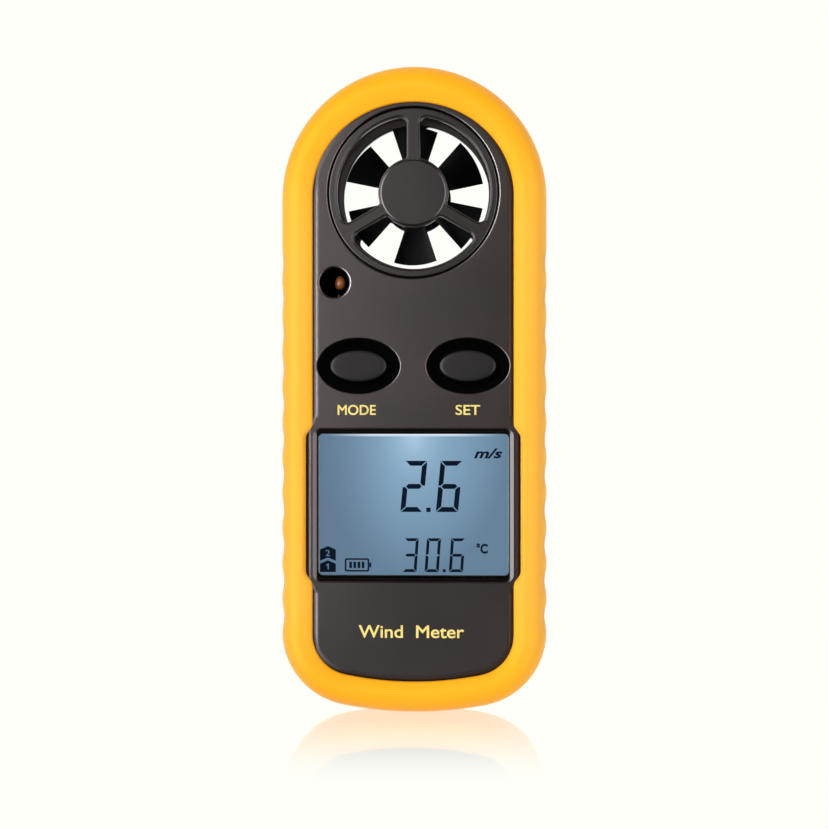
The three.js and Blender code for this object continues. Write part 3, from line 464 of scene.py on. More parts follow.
def window_hole(skin):
    """The window's bevelled lip, the seat behind it and the viewing aperture."""
    seat = [(LIP["out"] + 0.07, -FACE), (LIP["out"], -FACE + 0.04), (LIP["in"], LIP["y"]),
            (LIP["in"], LIP["y"] + 0.04), (0, LIP["y"] + 0.06), (0, SEAT_DEPTH)]
    view = [(0.08, SEAT_DEPTH), (0, SEAT_DEPTH + 0.08), (0, -CEILING)]
    return skin.rings(grown(SEAT), seat) + skin.rings(grown(APERTURE), view)


def build_front_casing():
    skin = Skin()
    probe = [*rim(PROBE_R, 0.42), (PROBE_R, 1.8), (3.3, 1.8), (3.3, CEILING)]
    post = [(2.2, CEILING), (2.2, 1.2), (2.05, 1.05), (1.0, 1.05), (1.0, 5.2)]
    skin.solid(
        shell_rings(skin, -1, PARTING["front"], True),
        holes=[fan_hole(skin, -1), hole(skin, -1, *PROBE, probe), window_hole(skin),
               ovals(skin, -BUTTON_X, DISH), ovals(skin, BUTTON_X, DISH)],
        back_pits=[hole(skin, -1, x, z, post) for x, z in CASE_SCREWS + BOARD_SCREWS],
    )
    return finish_piece(skin, "front_shell", "front_casing")


def lobed(radius, lobe, first, half_arc):
    """A circle about the battery, with three lobes that reach further out."""
    points = circle(radius, count=180)
    angle = np.degrees(np.arctan2(points[:, 1], points[:, 0]))
    off = (angle - first + 60) % 120 - 60
    points[np.abs(off) <= half_arc] *= lobe / radius
    return points + (0, CELL_Z)


def cell_hole(skin):
    """The battery compartment: mouth with lug notches, groove for the lugs, well and its wall."""
    mouth_r, groove_r, well_r, wall_r = 11.3, 12.5, 10.25, 13.4
    groove_y, shelf_y, well_y = 6.25, 4.95, 4.6
    contact = {"half": 2.65, "reach": 11.25}  # the well's pocket for the side contact

    def mouth(grow):
        return lobed(mouth_r + grow, LUG_NOTCH["reach"] + grow, CAP_TURN - 90, LUG_NOTCH["half_arc"])

    well = circle(well_r, count=180)
    pocket = (np.abs(well[:, 0]) < contact["half"]) & (well[:, 1] > 0)
    well[pocket, 1] = contact["reach"]
    well += (0, CELL_Z)
    base = np.where(pocket, 1.05, 0.4)
    rings = skin.rings(mouth, [*rounded(0.25, FACE, 3), (0, groove_y)])
    rings += skin.rings(about_cell, ((groove_r, groove_y), (groove_r, shelf_y), (well_r, shelf_y),
                                     (well_r, well_y)))
    rings += [skin.ring(well, well_y), skin.ring(well, base), skin.ring(about_cell(wall_r), base)]
    return rings + skin.rings(about_cell, [(wall_r, CEILING)])


def label_rect(by=0.0):
    low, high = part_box("rating_label")
    return rounded_rect(high.x / MM + by, low.z / MM - by, high.z / MM + by, 1.5)


def build_rear_casing():
    skin = Skin()
    counterbore = [*rim(2.1, 0.2), (2.1, 5.25), (1.15, 5.25), (1.15, 0.25), (2.4, 0.25), (2.4, CEILING)]
    label_recess = ((0.25, FACE), (0.15, FACE - 0.1), (0.15, FACE - 0.25))
    skin.solid(
        shell_rings(skin, 1, PARTING["rear"], False),
        holes=[fan_hole(skin, 1), cell_hole(skin),
               *(hole(skin, 1, x, z, counterbore) for x, z in CASE_SCREWS)],
        front_pits=[skin.rings(label_rect, label_recess)],
    )
    finish_piece(skin, "rear_shell", "rear_casing")


def build_label():
    """A blank label with an embossed line round its edge."""
    skin = Skin()
    back, front = depths("rating_label")
    low = front - 0.04
    line = skin.rings(label_rect, ((-0.7, front), (-0.75, low), (-1.05, low), (-1.1, front)))
    outer = skin.rings(label_rect, ((-0.04, front), (0, low), (0, back)))
    skin.tube(outer)
    skin.tube(line)
    skin.cap(outer[0], line[0])
    skin.cap(line[-1])
    skin.cap(outer[-1])
    finish_piece(skin, "blank_label", "rating_label")


# ---------- fan ----------


def guard_opening(start, end, out_r, grow):
    """An annular sector between two struts with rounded corners, grown by a distance."""
    hub_r, strut, out_fillet, hub_fillet = 6.05, 2.3, 1.1, 0.7
    out_fillet, hub_fillet = out_fillet + grow, hub_fillet + grow
    out_r, hub_r, strut = out_r + grow, hub_r - grow, strut - 2 * grow
    out_shift = math.degrees(math.asin((strut / 2 + out_fillet) / (out_r - out_fillet)))
    hub_shift = math.degrees(math.asin((strut / 2 + hub_fillet) / (hub_r + hub_fillet)))

    def corner(radius, reach, at, first, last):
        turn = math.radians(at)
        return arc(radius, reach * math.cos(turn), reach * math.sin(turn), first, last, 8)

    def outer_corner(at, first, last):
        return corner(out_fillet, out_r - out_fillet, at, first, last)

    def hub_corner(at, first, last):
        return corner(hub_fillet, hub_r + hub_fillet, at, first, last)

    parts = [
        arc(out_r, 0, 0, start + out_shift, end - out_shift, 40),
        outer_corner(end - out_shift, end - out_shift, end + 90)[1:],
        hub_corner(end - hub_shift, end + 90, end - hub_shift + 180),
        arc(hub_r, 0, 0, end - hub_shift, start + hub_shift, 24)[1:],
        hub_corner(start + hub_shift, start + hub_shift + 180, start + 270)[1:],
        outer_corner(start + out_shift, start - 90, start + out_shift)[:-1],
    ]
    return np.concatenate(parts) + (0, FAN_Z)


def build_guard(name, node, side, out_r):
    """Ring, three struts and a raised hub, with stepped edges round the openings."""
    skin = Skin()
    face, back, bearing_back, bearing_face = 7.2, 5.75, 5.4, 4.0
    edge = [*rounded_outside(0.22, face), (0, back)]
    step = [(0.42, face), (0.36, face - 0.04), (0.2, face - 0.28), (0.16, face - 0.3), (0.06, face - 0.3),
            (0.02, face - 0.34), (0, face - 0.4), (0, back)]
    hub = [(5.66, face), (5.62, face + 0.02), (5.5, face + 0.11), (5.45, face + 0.13)]
    boss = [(5.5, back), (5.5, 5.5), (5.4, bearing_back), (1.9, bearing_back), (1.9, bearing_face),
            (1.5, bearing_face), (1.5, 5.25)]

    def opening(angle):
        return lambda grow: guard_opening(angle, angle + 120, out_r, grow)

    skin.solid(
        skin.rings(lambda grow: about_fan(GUARD_R + grow), edge, side),
        holes=[skin.rings(opening(angle), step, side) for angle in STRUTS],
        front_pits=[hole(skin, side, 0, FAN_Z, hub)],
        back_pits=[hole(skin, side, 0, FAN_Z, boss)],
    )
    finish_piece(skin, name, node)


def build_duct():
    """The tube round the fan, stepped at both ends, with a slot at the rear for the sensor's cable."""
    skin = Skin()
    slot_half, slot_edge, slot_y = math.degrees(0.6 / DUCT_R), 0.2, 4.65
    sides = [LEAD_ANGLE + sign * reach for sign in (-1, 1) for reach in (slot_half, slot_half + slot_edge)]
    turns = np.sort(np.concatenate([np.arange(0, 360, 3.0), sides]))
    slot = np.abs(turns - LEAD_ANGLE) < slot_half + slot_edge / 2
    unit = np.stack([np.cos(np.radians(turns)), np.sin(np.radians(turns))], 1)
    step_r, outer_r, edge = 13.45, 15.2, 0.1
    profile = [(step_r, -5.6), (step_r, -4.5), (13.05, -4.35), (DUCT_R, -4.2), (DUCT_R, 4.2), (13.05, 4.35),
               (step_r, 4.5), (step_r, 5.5), (step_r + edge, 5.6), (outer_r - edge, 5.6), (outer_r, 5.5),
               (outer_r, -5.5), (outer_r - edge, -5.6), (step_r + edge, -5.6)]
    skin.tube([skin.ring(unit * radius + (0, FAN_Z), np.where(slot, min(y, slot_y), y))
               for radius, y in profile], closed=True)
    # Its finish is a paler brown that paints the light from the backdrop behind the fan.
    finish_piece(skin, "fan_duct", "duct_tube", ink="duct_painted_light")


def add_blade(skin, centre):
    """One helical vane with rounded edges. Its front edge leads, seen from the front."""
    half_sweep, half, thick, root, tip = 18.5, 2.45, 0.6, 5.0, 12.1
    rise = half / math.radians(half_sweep)
    across, along = 7, 14
    rings = []
    for i in range(across + 1):
        radius = root + (tip - root) * i / across
        steep = math.hypot(rise, radius)
        ring = []
        for side in (1, -1):
            for j in range(along + 1):
                share = (2 * j / along - 1) * side
                thin = 1 - 0.75 * abs(share) ** 6
                shift = thick / 2 * side * thin / steep
                turn = math.radians(centre - share * half_sweep) + shift * rise / radius
                ring.append(skin.point(radius * math.cos(turn), share * half + shift * radius,
                                       FAN_Z + radius * math.sin(turn)))
        rings.append(ring)
    skin.tube(rings)
    for ring in (rings[0], rings[-1]):
        for j in range(along):
            other = 2 * along + 1 - j
            skin.bm.faces.new((ring[j], ring[j + 1], ring[other - 1], ring[other]))


def build_impeller():
    skin = Skin()
    vanes, first_angle = 6, 30
    for i in range(vanes):
        add_blade(skin, first_angle + 360 * i / vanes)
    bore, hub, recess = 0.53, 5.2, 4.25
    profile = [(bore, -2.6), (4.6, -2.6), (5.0, -2.5), (hub, -2.2), (hub, 2.3), (5.05, 2.6), (recess, 2.6),
               (recess, 1.35), (bore, 1.35)]
    skin.tube(skin.rings(lambda radius: circle(radius, 0, FAN_Z, 72), profile), closed=True)
    finish_piece(skin, "fan_wheel", "impeller", body="fan")


# ---------- display ----------


def prism(skin, points, front=INK_FACE, back=FILM_FACE):
    skin.solid([skin.ring(points, y) for y in (front, back)])


def build_window():
    skin = Skin()
    front, back = depths("display_window")
    edge = ((-0.14, front), (-0.04, front + 0.04), (0, front + 0.14), (0, back))
    skin.solid(skin.rings(grown(PANE), edge))
    finish_piece(skin, "clear_window", "display_window")


def build_tape():
    skin = Skin()
    flat = [(0, y) for y in depths("window_tape")]
    skin.solid(skin.rings(grown(PANE), flat), holes=[skin.rings(grown(APERTURE), flat)])
    finish_piece(skin, "mounting_tape", "window_tape")


def build_lcd_film():
    skin = Skin()
    skin.solid(skin.rings(grown(FILM), ((-0.03, FILM_FACE), (0, FILM_FACE + 0.03), (0, LCD_FACE))))
    finish_piece(skin, "lcd_film", slot="lcd_panel")


SEGMENTS = {"2": "abged", "6": "acdefg", "3": "abcdg", "0": "abcdef"}


def digit_segments(width, height, thick, gap):
    """The seven bars of a digit, as outlines with mitred ends. The origin is the lower left corner."""
    mid, half = height / 2, thick / 2
    near, far = thick + gap, width - thick - gap
    level = {
        "a": [(gap, height), (width - gap, height), (far, height - thick), (near, height - thick)],
        "d": [(near, thick), (far, thick), (width - gap, 0), (gap, 0)],
        "g": [(half + gap, mid), (near, mid + half), (far, mid + half), (width - half - gap, mid),
              (far, mid - half), (near, mid - half)],
    }
    left_upper = [(0, mid + gap), (0, height - gap), (thick, height - near), (thick, mid + half + gap),
                  (half, mid + gap)]
    left_lower = [(x, height - z) for x, z in left_upper]

    def mirrored(points):
        return [(width - x, z) for x, z in points]

    return {**level, "f": left_upper, "e": left_lower, "b": mirrored(left_upper), "c": mirrored(left_lower)}


def add_reading(skin, text, starts, low, width, height, thick, slant):
    """Digits of a reading, each with its left edge at a place along X, leaning to the right."""
    for digit, x in zip(text, starts):
        bars = digit_segments(width, height, thick, 0.14 * thick)
        for name in SEGMENTS[digit]:
            prism(skin, [(x + px + slant * pz, low + pz) for px, pz in bars[name]])


def add_bar(skin, x, z, width, height):
    prism(skin, [(x, z), (x + width, z), (x + width, z + height), (x, z + height)])


def build_readings():
    skin = Skin()
    speed_z, heat_z = 34.75, 24.35
    add_reading(skin, "26", (-2.3, 3.85), speed_z, 3.85, 8.85, 0.85, 0.095)
    add_bar(skin, 2.2, speed_z, 0.75, 0.75)
    add_reading(skin, "306", (-1.95, 1.9, 6.1), heat_z, 2.45, 5.85, 0.5, 0.07)
    add_bar(skin, 5.05, heat_z, 0.5, 0.5)
    finish_piece(skin, "lcd_readings", slot="lcd_panel", ink="lcd_ink")


POINTER = {"x": -14.88, "left": -16.25, "right": -13.5}


def build_lcd_icons():
    """A battery gauge and two stacked pointers."""
    skin = Skin()
    centre, line = (-9.82, 0), 0.28
    gauge = rounded_rect(2.12, 24.4, 26.7, 0.3, 3) + centre
    hollow = rounded_rect(2.12 - line, 24.4 + line, 26.7 - line, 0.1, 3) + centre
    skin.solid([skin.ring(gauge, y) for y in (INK_FACE, FILM_FACE)],
               holes=[[skin.ring(hollow, y) for y in (INK_FACE, FILM_FACE)]])
    add_bar(skin, -7.68, 25.15, 0.35, 0.8)
    bars, pitch = 4, 0.72
    for i in range(bars):
        add_bar(skin, -11.15 + pitch * i, 25.0, 0.46, 1.1)
    left, x, right = POINTER["left"], POINTER["x"], POINTER["right"]
    for low, high, dents in ((24.3, 25.75, ()), (26.25, 28.2, (0.55,))):
        foot = [(x, low + dent) for dent in dents]
        prism(skin, [(left, low), *foot, (right, low), (right, high), (x, high + 0.6), (left, high)])
    finish_piece(skin, "lcd_icons", slot="lcd_panel", ink="lcd_ink")


def build_lower_mark():
    """The figure one, with its flag, on the lower pointer."""
    skin = Skin()
    figure = [(-0.04, 0), (0.16, 0), (0.16, 1), (0.0, 1), (-0.28, 0.78), (-0.28, 0.6), (-0.04, 0.74)]
    prism(skin, np.array(figure) + (POINTER["x"], 24.75), INK_FACE - 0.02, INK_FACE)
    finish_piece(skin, "lower_mark", slot="lcd_panel", ink="lcd_pale")


def embolden(work, by):
    """Moves the walls of flat lettering outwards in its plane."""
    shifts = []
    for vertex in work.verts:
        walls = [face.normal for face in vertex.link_faces if abs(face.normal.z) < 0.5]
        push = sum(walls, Vector())
        if push.length > 0.01:
            push.normalize()
            shifts.append((vertex, push * by / max(0.5, push.dot(walls[0]))))
    for vertex, shift in shifts:
        vertex.co += shift


def text_mesh(text, x, z, width, height, front, thick, bold, lean):
    """Flat raised lettering, centred on (x, z), made to a width and a height."""
    curve = bpy.data.curves.new("lettering", "FONT")
    curve.body = text
    curve.extrude = 0.5
    curve.shear = lean
    curve.resolution_u = 6
    source = new_object("lettering", curve)
    bpy.context.view_layer.update()
    data = bpy.data.meshes.new_from_object(source.evaluated_get(bpy.context.evaluated_depsgraph_get()))
    bpy.data.objects.remove(source)
    work = bmesh.new()
    work.from_mesh(data)
    bmesh.ops.remove_doubles(work, verts=work.verts, dist=2e-5)
    bmesh.ops.recalc_face_normals(work, faces=work.faces)
    embolden(work, bold)
    points = np.array([v.co for v in work.verts])
    low, high = points.min(0), points.max(0)
    fitted = (points - (low + high) / 2) / (high - low) * (width, height, thick)
    for vertex, (across, up, out) in zip(work.verts, fitted):
        vertex.co = ((x + across) * MM, (front + thick / 2 - out) * MM, (z + up) * MM)
    bmesh.ops.recalc_face_normals(work, faces=work.faces)
    work.to_mesh(data)
    work.free()
    data.set_sharp_from_angle(angle=math.radians(35))
    return data


def build_lettering():
    """Plain words for the two keys and the meter's kind, and the units and a mark on the display."""
    printed = (PRINT_FACE, 0.03, "casing_plastic", "print_ink")
    shown = (INK_FACE, 0.02, "lcd_panel", "lcd_ink")
    marked = (INK_FACE - 0.01, 0.02, "lcd_panel", "lcd_pale")
    # Name, text, centre x and z, width, height, boldness, lean, kind
    words = [
        ("mode_word", "MODE", -9.72, 52.4, 6.6, 1.75, 0.013, 0, printed),
        ("set_word", "SET", 9.45, 52.4, 4.25, 1.75, 0.013, 0, printed),
        ("meter_word", "Wind  Meter", -0.3, 14.2, 18.2, 2.2, 0.012, 0, printed),
        ("speed_unit", "m/s", 12.9, 44.9, 4.9, 1.75, 0.03, 0.3, shown),
        ("heat_unit", "°C", 11.85, 28.45, 2.0, 1.8, 0.04, 0, shown),
        ("upper_mark", "2", POINTER["x"], 27.6, 0.75, 1.05, 0, 0, marked),
    ]
    for name, text, x, z, width, height, bold, lean, (front, thick, slot, ink) in words:
        data = text_mesh(text, x, z, width, height, front, thick, bold, lean)
        finish_piece(data, name, slot=slot, ink=ink)


# ---------- buttons, sensor, battery cap, screws ----------


def build_button(name, node, body, x):
    """A cap with a nearly flat oval top, rounded edges, a hidden flange and a stem."""
    skin = Skin()
    top, sag = 7.74, 0.05
    crown = [(4.3 * share, 2.3 * share, top - sag * share ** 4) for share in (0.5, 0.65, 0.8, 0.9, 1)]
    stem = [(1.2, 3.7), (1.2, 3.53), (1.17, 3.5)]
    skin.solid(ovals(skin, x, (*crown, *KEY_EDGE)), back_pits=[hole(skin, -1, x, BUTTON_Z, stem)])
    finish_piece(skin, name, node, body=body)


def build_bead():
    """The temperature bead: a drop of resin that narrows upwards to its wires."""
    skin = Skin()
    centre = middle("thermistor_bead")
    low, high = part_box("thermistor_bead")
    half, widest = (high.z - low.z) / 2 / MM, (high.x - low.x) / 2 / MM
    around = np.linspace(0, 2 * np.pi, 28, endpoint=False)
    rings = []
    for turn in np.linspace(-math.pi / 2, math.pi / 2, 17)[1:-1]:
        radius = widest * math.cos(turn) * (1 - 0.12 * math.sin(turn))
        rings.append([skin.point(centre.x + radius * math.cos(t), centre.y + radius * math.sin(t),
                                 centre.z + half * math.sin(turn)) for t in around])
    skin.tube(rings)
    for ring, tip in ((rings[0], -half), (rings[-1], half)):
        point = skin.point(centre.x, centre.y, centre.z + tip)
        for i, vertex in enumerate(ring):
            skin.bm.faces.new((vertex, ring[(i + 1) % len(ring)], point))
    finish_piece(skin, "temperature_bead", "thermistor_bead", subdivide=1)


def coin_slot(grow):
    """A slot's outline with round ends, lying along X, for a coin."""
    length, width = 13 + 2 * grow, 1.8 + 2 * grow
    radius, reach = width / 2, length / 2 - width / 2
    return np.concatenate([arc(radius, reach, CELL_Z, -90, 90, 12), arc(radius, -reach, CELL_Z, 90, 270, 12)])


def build_cap():
    """Battery cap with a coin slot, a finger ring and three bayonet lugs."""
    skin = Skin()
    face, lug_y, back, hollow_r = 7.4, 6.1, 5.1, 9.6
    edge = [*rounded_outside(0.3, face), (0, lug_y)]
    outer = skin.rings(lambda grow: about_cell(CAP_R + grow), edge)
    lugs = lobed(CAP_R + 0.01, LUG["reach"], -90, LUG["half_arc"])
    outer += [skin.ring(lugs, y) for y in (lug_y, back)]
    slot = skin.rings(coin_slot, ((0.18, face), (0.05, face - 0.08), (0, face - 0.2), (0, face - 0.9)))
    groove = skin.rings(about_cell, ((9.6, face), (9.5, face - 0.12), (9.1, face - 0.12), (9.0, face)))
    hollow = [skin.ring(circle(hollow_r, 0, CELL_Z), y) for y in (back, back + 0.9)]
    for rings in (outer, slot, groove, hollow):
        skin.tube(rings)
    skin.cap(outer[0], groove[0])
    skin.cap(groove[-1], slot[0])
    skin.cap(slot[-1])
    skin.cap(outer[-1], hollow[0])
    skin.cap(hollow[-1])
    finish_piece(skin, "coin_slot_cap", "battery_cap", body="cap")


def cross(arm, width, x, z):
    """A plus-shaped outline."""
    half = width / 2
    points = [(arm, -half), (arm, half), (half, half), (half, arm), (-half, arm), (-half, half), (-arm, half),
              (-arm, -half), (-half, -half), (-half, -arm), (half, -arm), (half, -half)]
    return np.array(points) + (x, z)


def build_screw(node):
    """A pan-head screw with a tapered cross recess and a threaded shank."""
    skin = Skin()
    low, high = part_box(node)
    x, z = middle(node).x, middle(node).z
    head_r, top, tip = (high.x - low.x) / 2 / MM, high.y / MM, low.y / MM
    seat, shank_r = (top - 1.3, 0.95) if node.startswith("case") else (top - 1.0, 0.75)
    outer = [skin.ring(circle(head_r * share, x, z, 48), top - down)
             for share, down in ((0.72, 0), (0.84, 0.05), (0.93, 0.15), (0.99, 0.32), (1.0, 0.5))]
    outer.append(skin.ring(circle(head_r, x, z, 48), seat))
    arm = head_r * 0.6
    recess = [skin.ring(cross(arm * reach, arm * 0.36 * narrow, x, z), top - down)
              for reach, narrow, down in ((1.0, 1.0, 0), (0.82, 0.85, 0.35), (0.6, 0.7, 0.6))]
    shank = [(shank_r, seat)]
    pitch = 0.5
    for i in range(int((seat - tip - 1.2) / pitch)):
        y = seat - 0.4 - i * pitch
        shank += [(shank_r * 0.84, y), (shank_r, y - pitch / 2)]
    shank += [(shank_r * 0.8, tip + 0.5), (shank_r * 0.35, tip)]
    skin.solid(outer, front_pits=[recess], back_pits=[hole(skin, 1, x, z, shank)])
    finish_piece(skin, node + "_pan", node)


# ---------- materials ----------


class Nodes:
    """A thin wrapper that adds shader nodes to a material's or a world's tree and links them."""

    def __init__(self, owner, bare=True):
        owner.use_nodes = True
        self.tree = owner.node_tree
        if bare:
            self.tree.nodes.clear()

    def add(self, kind, inputs=None, **settings):
        node = self.tree.nodes.new(kind)
        for key, value in settings.items():
            setattr(node, key, value)
        self.give(node, inputs or {})
        return node

    def shade(self, kind, **inputs):
        """The output of a simple shader, whose inputs are given by name."""
        return self.add("ShaderNode" + kind, inputs).outputs[0]

    def give(self, node, inputs):
        for key, value in inputs.items():
            if isinstance(value, bpy.types.NodeSocket):
                self.tree.links.new(value, node.inputs[key])
            else:
                node.inputs[key].default_value = value

    def math(self, operation, first, second=0.0):
        return self.add("ShaderNodeMath", {0: first, 1: second}, operation=operation).outputs[0]

    def product(self, first, *others):
        for other in others:
            first = self.math("MULTIPLY", first, other)
        return first

    def sum(self, first, second):
        return self.math("ADD", first, second)

    def less(self, first, second):
        return self.math("SUBTRACT", first, second)

    def size(self, value):
        return self.math("ABSOLUTE", value)

    def step(self, low, high, value):
        """A smooth step from 0 at low to 1 at high."""
        node = self.add("ShaderNodeMapRange", {"Value": value, "From Min": low, "From Max": high},
                        interpolation_type="SMOOTHSTEP")
        return node.outputs["Result"]

    def step_mm(self, low, high, value):
        """A smooth step between two lengths in millimetres."""
        return self.step(low * MM, high * MM, value)

    def mix(self, share, first, second):
        return self.add("ShaderNodeMix", {0: share, 6: first, 7: second}, data_type="RGBA").outputs[2]

    def mix_shader(self, share, first, second):
        return self.add("ShaderNodeMixShader", {0: share, 1: first, 2: second}).outputs[0]

    def noise(self, place, scale, detail):
        node = self.add("ShaderNodeTexNoise", {"Vector": place, "Scale": scale, "Detail": detail})
        return node.outputs["Fac"]

    def place(self):
        return self.add("ShaderNodeTexCoord").outputs["Object"]

    def axes(self, place):
        return self.add("ShaderNodeSeparateXYZ", {0: place}).outputs


def linear(*colour):
    """A display colour from 0 to 255 as a linear one."""
    return (*[((c / 255 + 0.055) / 1.055) ** 2.4 if c > 10 else c / 255 / 12.92 for c in colour], 1.0)


def darker(colour, share):
    return linear(*(c * share for c in colour))


def edge_share(tree, reach):
    """1 on sharp edges and 0 on what is flat within a distance of them."""
    rounded_normal = tree.add("ShaderNodeBevel", {"Radius": reach * MM}, samples=4).outputs["Normal"]
    normal = tree.add("ShaderNodeNewGeometry").outputs["True Normal"]
    bend = tree.add("ShaderNodeVectorMath", {0: rounded_normal, 1: normal}, operation="DOT_PRODUCT")
    return tree.step(0.97, 0.75, bend.outputs["Value"])


def crown_drop(tree, place, start, bend):
    """How far a surface has curved back, past a distance from the meter's middle line."""
    across, _, up = tree.axes(place)
    middle_z, reach = (BULGE["low"] + BULGE["high"]) / 2, (BULGE["high"] - BULGE["low"]) / 2
    from_display = tree.size(tree.less(up, middle_z * MM))
    further = tree.product(tree.step_mm(reach + 1, reach - 1, from_display), 1.5 * MM)
    flat = tree.sum(further, start * MM)
    past = tree.math("MAXIMUM", tree.less(tree.size(across), flat), 0.0)
    return tree.product(past, past, bend / 2 / MM)


def groove_shade_share(tree, place):
    """1 in the bottoms of the finger grooves and 0 between them and away from them: where painted shade goes.
    """
    across, _, up = tree.axes(place)
    turns = tree.product(tree.less(up, GRIP["top"] * MM), 2 * math.pi / GRIP["pitch"] / MM)
    wave = tree.sum(tree.product(tree.math("COSINE", turns), 0.5), 0.5)
    outer = tree.step_mm(SLEEVE.half - 0.9, SLEEVE.half - 0.5, tree.size(across))
    low, high = GRIP_LOW - GRIP_REACH, GRIP["top"] + GRIP_REACH
    above = tree.step_mm(low, low + 0.1, up)
    below = tree.step_mm(high, high - 0.1, up)
    return tree.product(wave, outer, above, below)


def side_highlight_share(tree, place):
    """1 along the long straight sides and 0 round the ends: where the painted highlight goes."""
    across, _, up = tree.axes(place)
    aside = tree.step_mm(MOUTH.half - 1, MOUTH.half + 2, tree.size(across))
    above = tree.step_mm(3, 22, up)
    below = tree.step_mm(SLEEVE.top_z + 12, SLEEVE.top_z - 10, up)
    return tree.product(aside, above, below)


def recess_share(tree, place, face, half):
    """1 at the flat face and its long edges, falling to 0 in what is sunk below it, where painted shade goes.
    """
    across, deep, _ = tree.axes(place)
    level = tree.step_mm(face - 0.3, face - 0.06, tree.size(deep))
    aside = tree.step_mm(half - 0.1, half, tree.size(across))
    return tree.math("MAXIMUM", level, aside)


def new_paint(name, shown):
    """A material, its nodes and its main shader. It shows a display colour in the viewport."""
    paint = bpy.data.materials.new(name)
    paint.diffuse_color = linear(*shown)
    tree = Nodes(paint, bare=False)
    return paint, tree, tree.tree.nodes["Principled BSDF"]


def moulded(name, light, dark, rough, grain=900.0, relief=0.02, metal=0.0, specular=0.5, wear=0.25,
            patch=60.0, coat=0.0, recess=None, crown=None, sides=None):
    """A finish with cloudy colour, fine grain in its relief and roughness, and paler worn edges.

    Recess is a (face, half width) pair: what lies sunk below that face gets painted shade, a much darker
    colour, and hardly shines.
    Crown is a (start, bend) pair: past that distance from the middle the surface leans outwards.
    Sides is a second, paler colour for the long straight sides, a painted highlight; their finger grooves get
    painted shade.
    """
    paint, tree, shader = new_paint(name, light)
    place = tree.place()
    cloud = tree.noise(place, patch, 4.0)
    fine = tree.noise(place, grain, 2.0)
    colour = tree.mix(tree.step(0.3, 0.7, cloud), linear(*dark), linear(*light))
    worn = tree.product(edge_share(tree, 0.25), wear)
    pale = tree.mix(0.5, linear(*light), (0.8, 0.8, 0.8, 1.0))
    if sides:
        # Painted highlight: a paler colour along the long sides.
        colour = tree.mix(side_highlight_share(tree, place), colour, linear(*sides))
        # Painted shade in the bottoms of the finger grooves.
        colour = tree.mix(tree.product(groove_shade_share(tree, place), 0.4), colour, darker(dark, 0.8))
    if recess:
        lit = recess_share(tree, place, *recess)
        # Painted shade: what is sunk below the face gets a much darker colour.
        colour = tree.mix(lit, darker(dark, 0.4), colour)
    spread = tree.add("ShaderNodeMapRange", {
        "Value": tree.sum(tree.product(cloud, 0.6), tree.product(fine, 0.4)),
        "From Min": 0.35, "From Max": 0.65, "To Min": rough[0], "To Max": rough[1]})
    height = tree.product(fine, relief * MM)
    if crown:
        height = tree.less(height, crown_drop(tree, place, *crown))
    bump = tree.add("ShaderNodeBump", {"Height": height, "Strength": 1.0, "Distance": 1.0})
    looks = {
        "Base Color": tree.mix(worn, colour, pale),
        "Roughness": spread.outputs["Result"],
        "Normal": bump.outputs["Normal"],
        "Metallic": metal,
        "Specular IOR Level": tree.product(tree.sum(lit, 0.02), specular) if recess else specular,
        "Coat Weight": coat,
    }
    tree.give(shader, looks)
    return paint


def clear_paint():
    """Clear plastic: it lets light straight through and reflects a little at its surface."""
    paint = bpy.data.materials.new("clear_acrylic")
    tree = Nodes(paint)
    rough = tree.product(tree.noise(tree.place(), 400.0, 3.0), 0.06)
    through = tree.shade("BsdfTransparent", Color=(0.985, 0.99, 0.99, 1))
    gloss = tree.shade("BsdfGlossy", Color=(1, 1, 1, 1), Roughness=rough)
    facing = tree.add("ShaderNodeLayerWeight", {"Blend": 0.5}).outputs["Facing"]
    share = tree.sum(tree.product(tree.math("POWER", facing, 3.0), 0.6), 0.002)
    tree.add("ShaderNodeOutputMaterial", {"Surface": tree.mix_shader(share, through, gloss)})
    return paint


def display_paint():
    """The lit display: blue-grey, brightest at the top centre, with a painted highlight along its upper edge.
    """
    paint, tree, shader = new_paint("display_glow", (129, 165, 191))
    place = tree.place()
    across, _, up = tree.axes(place)
    half, low, high, _ = (length * MM for length in APERTURE)
    from_top = tree.math("DIVIDE", tree.less(high, up), high - low)
    aside = tree.math("DIVIDE", across, half)
    squares = [tree.math("POWER", share, 2.0) for share in (from_top, tree.size(aside))]
    away = tree.math("SQRT", tree.sum(*squares))
    glow = tree.add("ShaderNodeValToRGB", {0: away})
    ramp = glow.color_ramp
    stops = ((0.0, (184, 210, 236)), (0.16, (154, 188, 214)), (0.34, (137, 172, 199)),
             (0.62, (124, 157, 184)), (1.0, (104, 133, 157)))
    for i, (at, colour) in enumerate(stops):
        stop = ramp.elements[i] if i < 2 else ramp.elements.new(at)
        stop.position, stop.color = at, linear(*colour)
    left = tree.step(-0.1, -1.0, aside)
    tinted = tree.mix(tree.product(left, 0.6), glow.outputs[0], linear(98, 120, 146))
    # Painted highlight: a thin bright line along the upper edge.
    edge = tree.product(tree.step(0.022, 0.008, from_top), tree.step(1.0, 0.3, away))
    speckle = tree.product(tree.less(tree.noise(place, 2500.0, 2.0), 0.5), 0.05)
    looks = {
        "Base Color": linear(20, 26, 32),
        "Roughness": 0.4,
        "Specular IOR Level": 0.05,
        "Emission Color": tree.mix(edge, tinted, linear(228, 240, 250)),
        "Emission Strength": tree.sum(speckle, 0.93),
    }
    tree.give(shader, looks)
    return paint


def ink(name, colour, glow=0.0, rough=0.5, specular=0.3):
    """Printed ink with a faint mottle."""
    paint = moulded(name, colour, tuple(int(c * 0.93) for c in colour), (rough, rough + 0.08), grain=3000,
                    relief=0.004, wear=0.0, patch=500, specular=specular)
    if glow:
        inputs = paint.node_tree.nodes["Principled BSDF"].inputs
        inputs["Emission Color"].default_value = linear(*colour)
        inputs["Emission Strength"].default_value = glow
    return paint


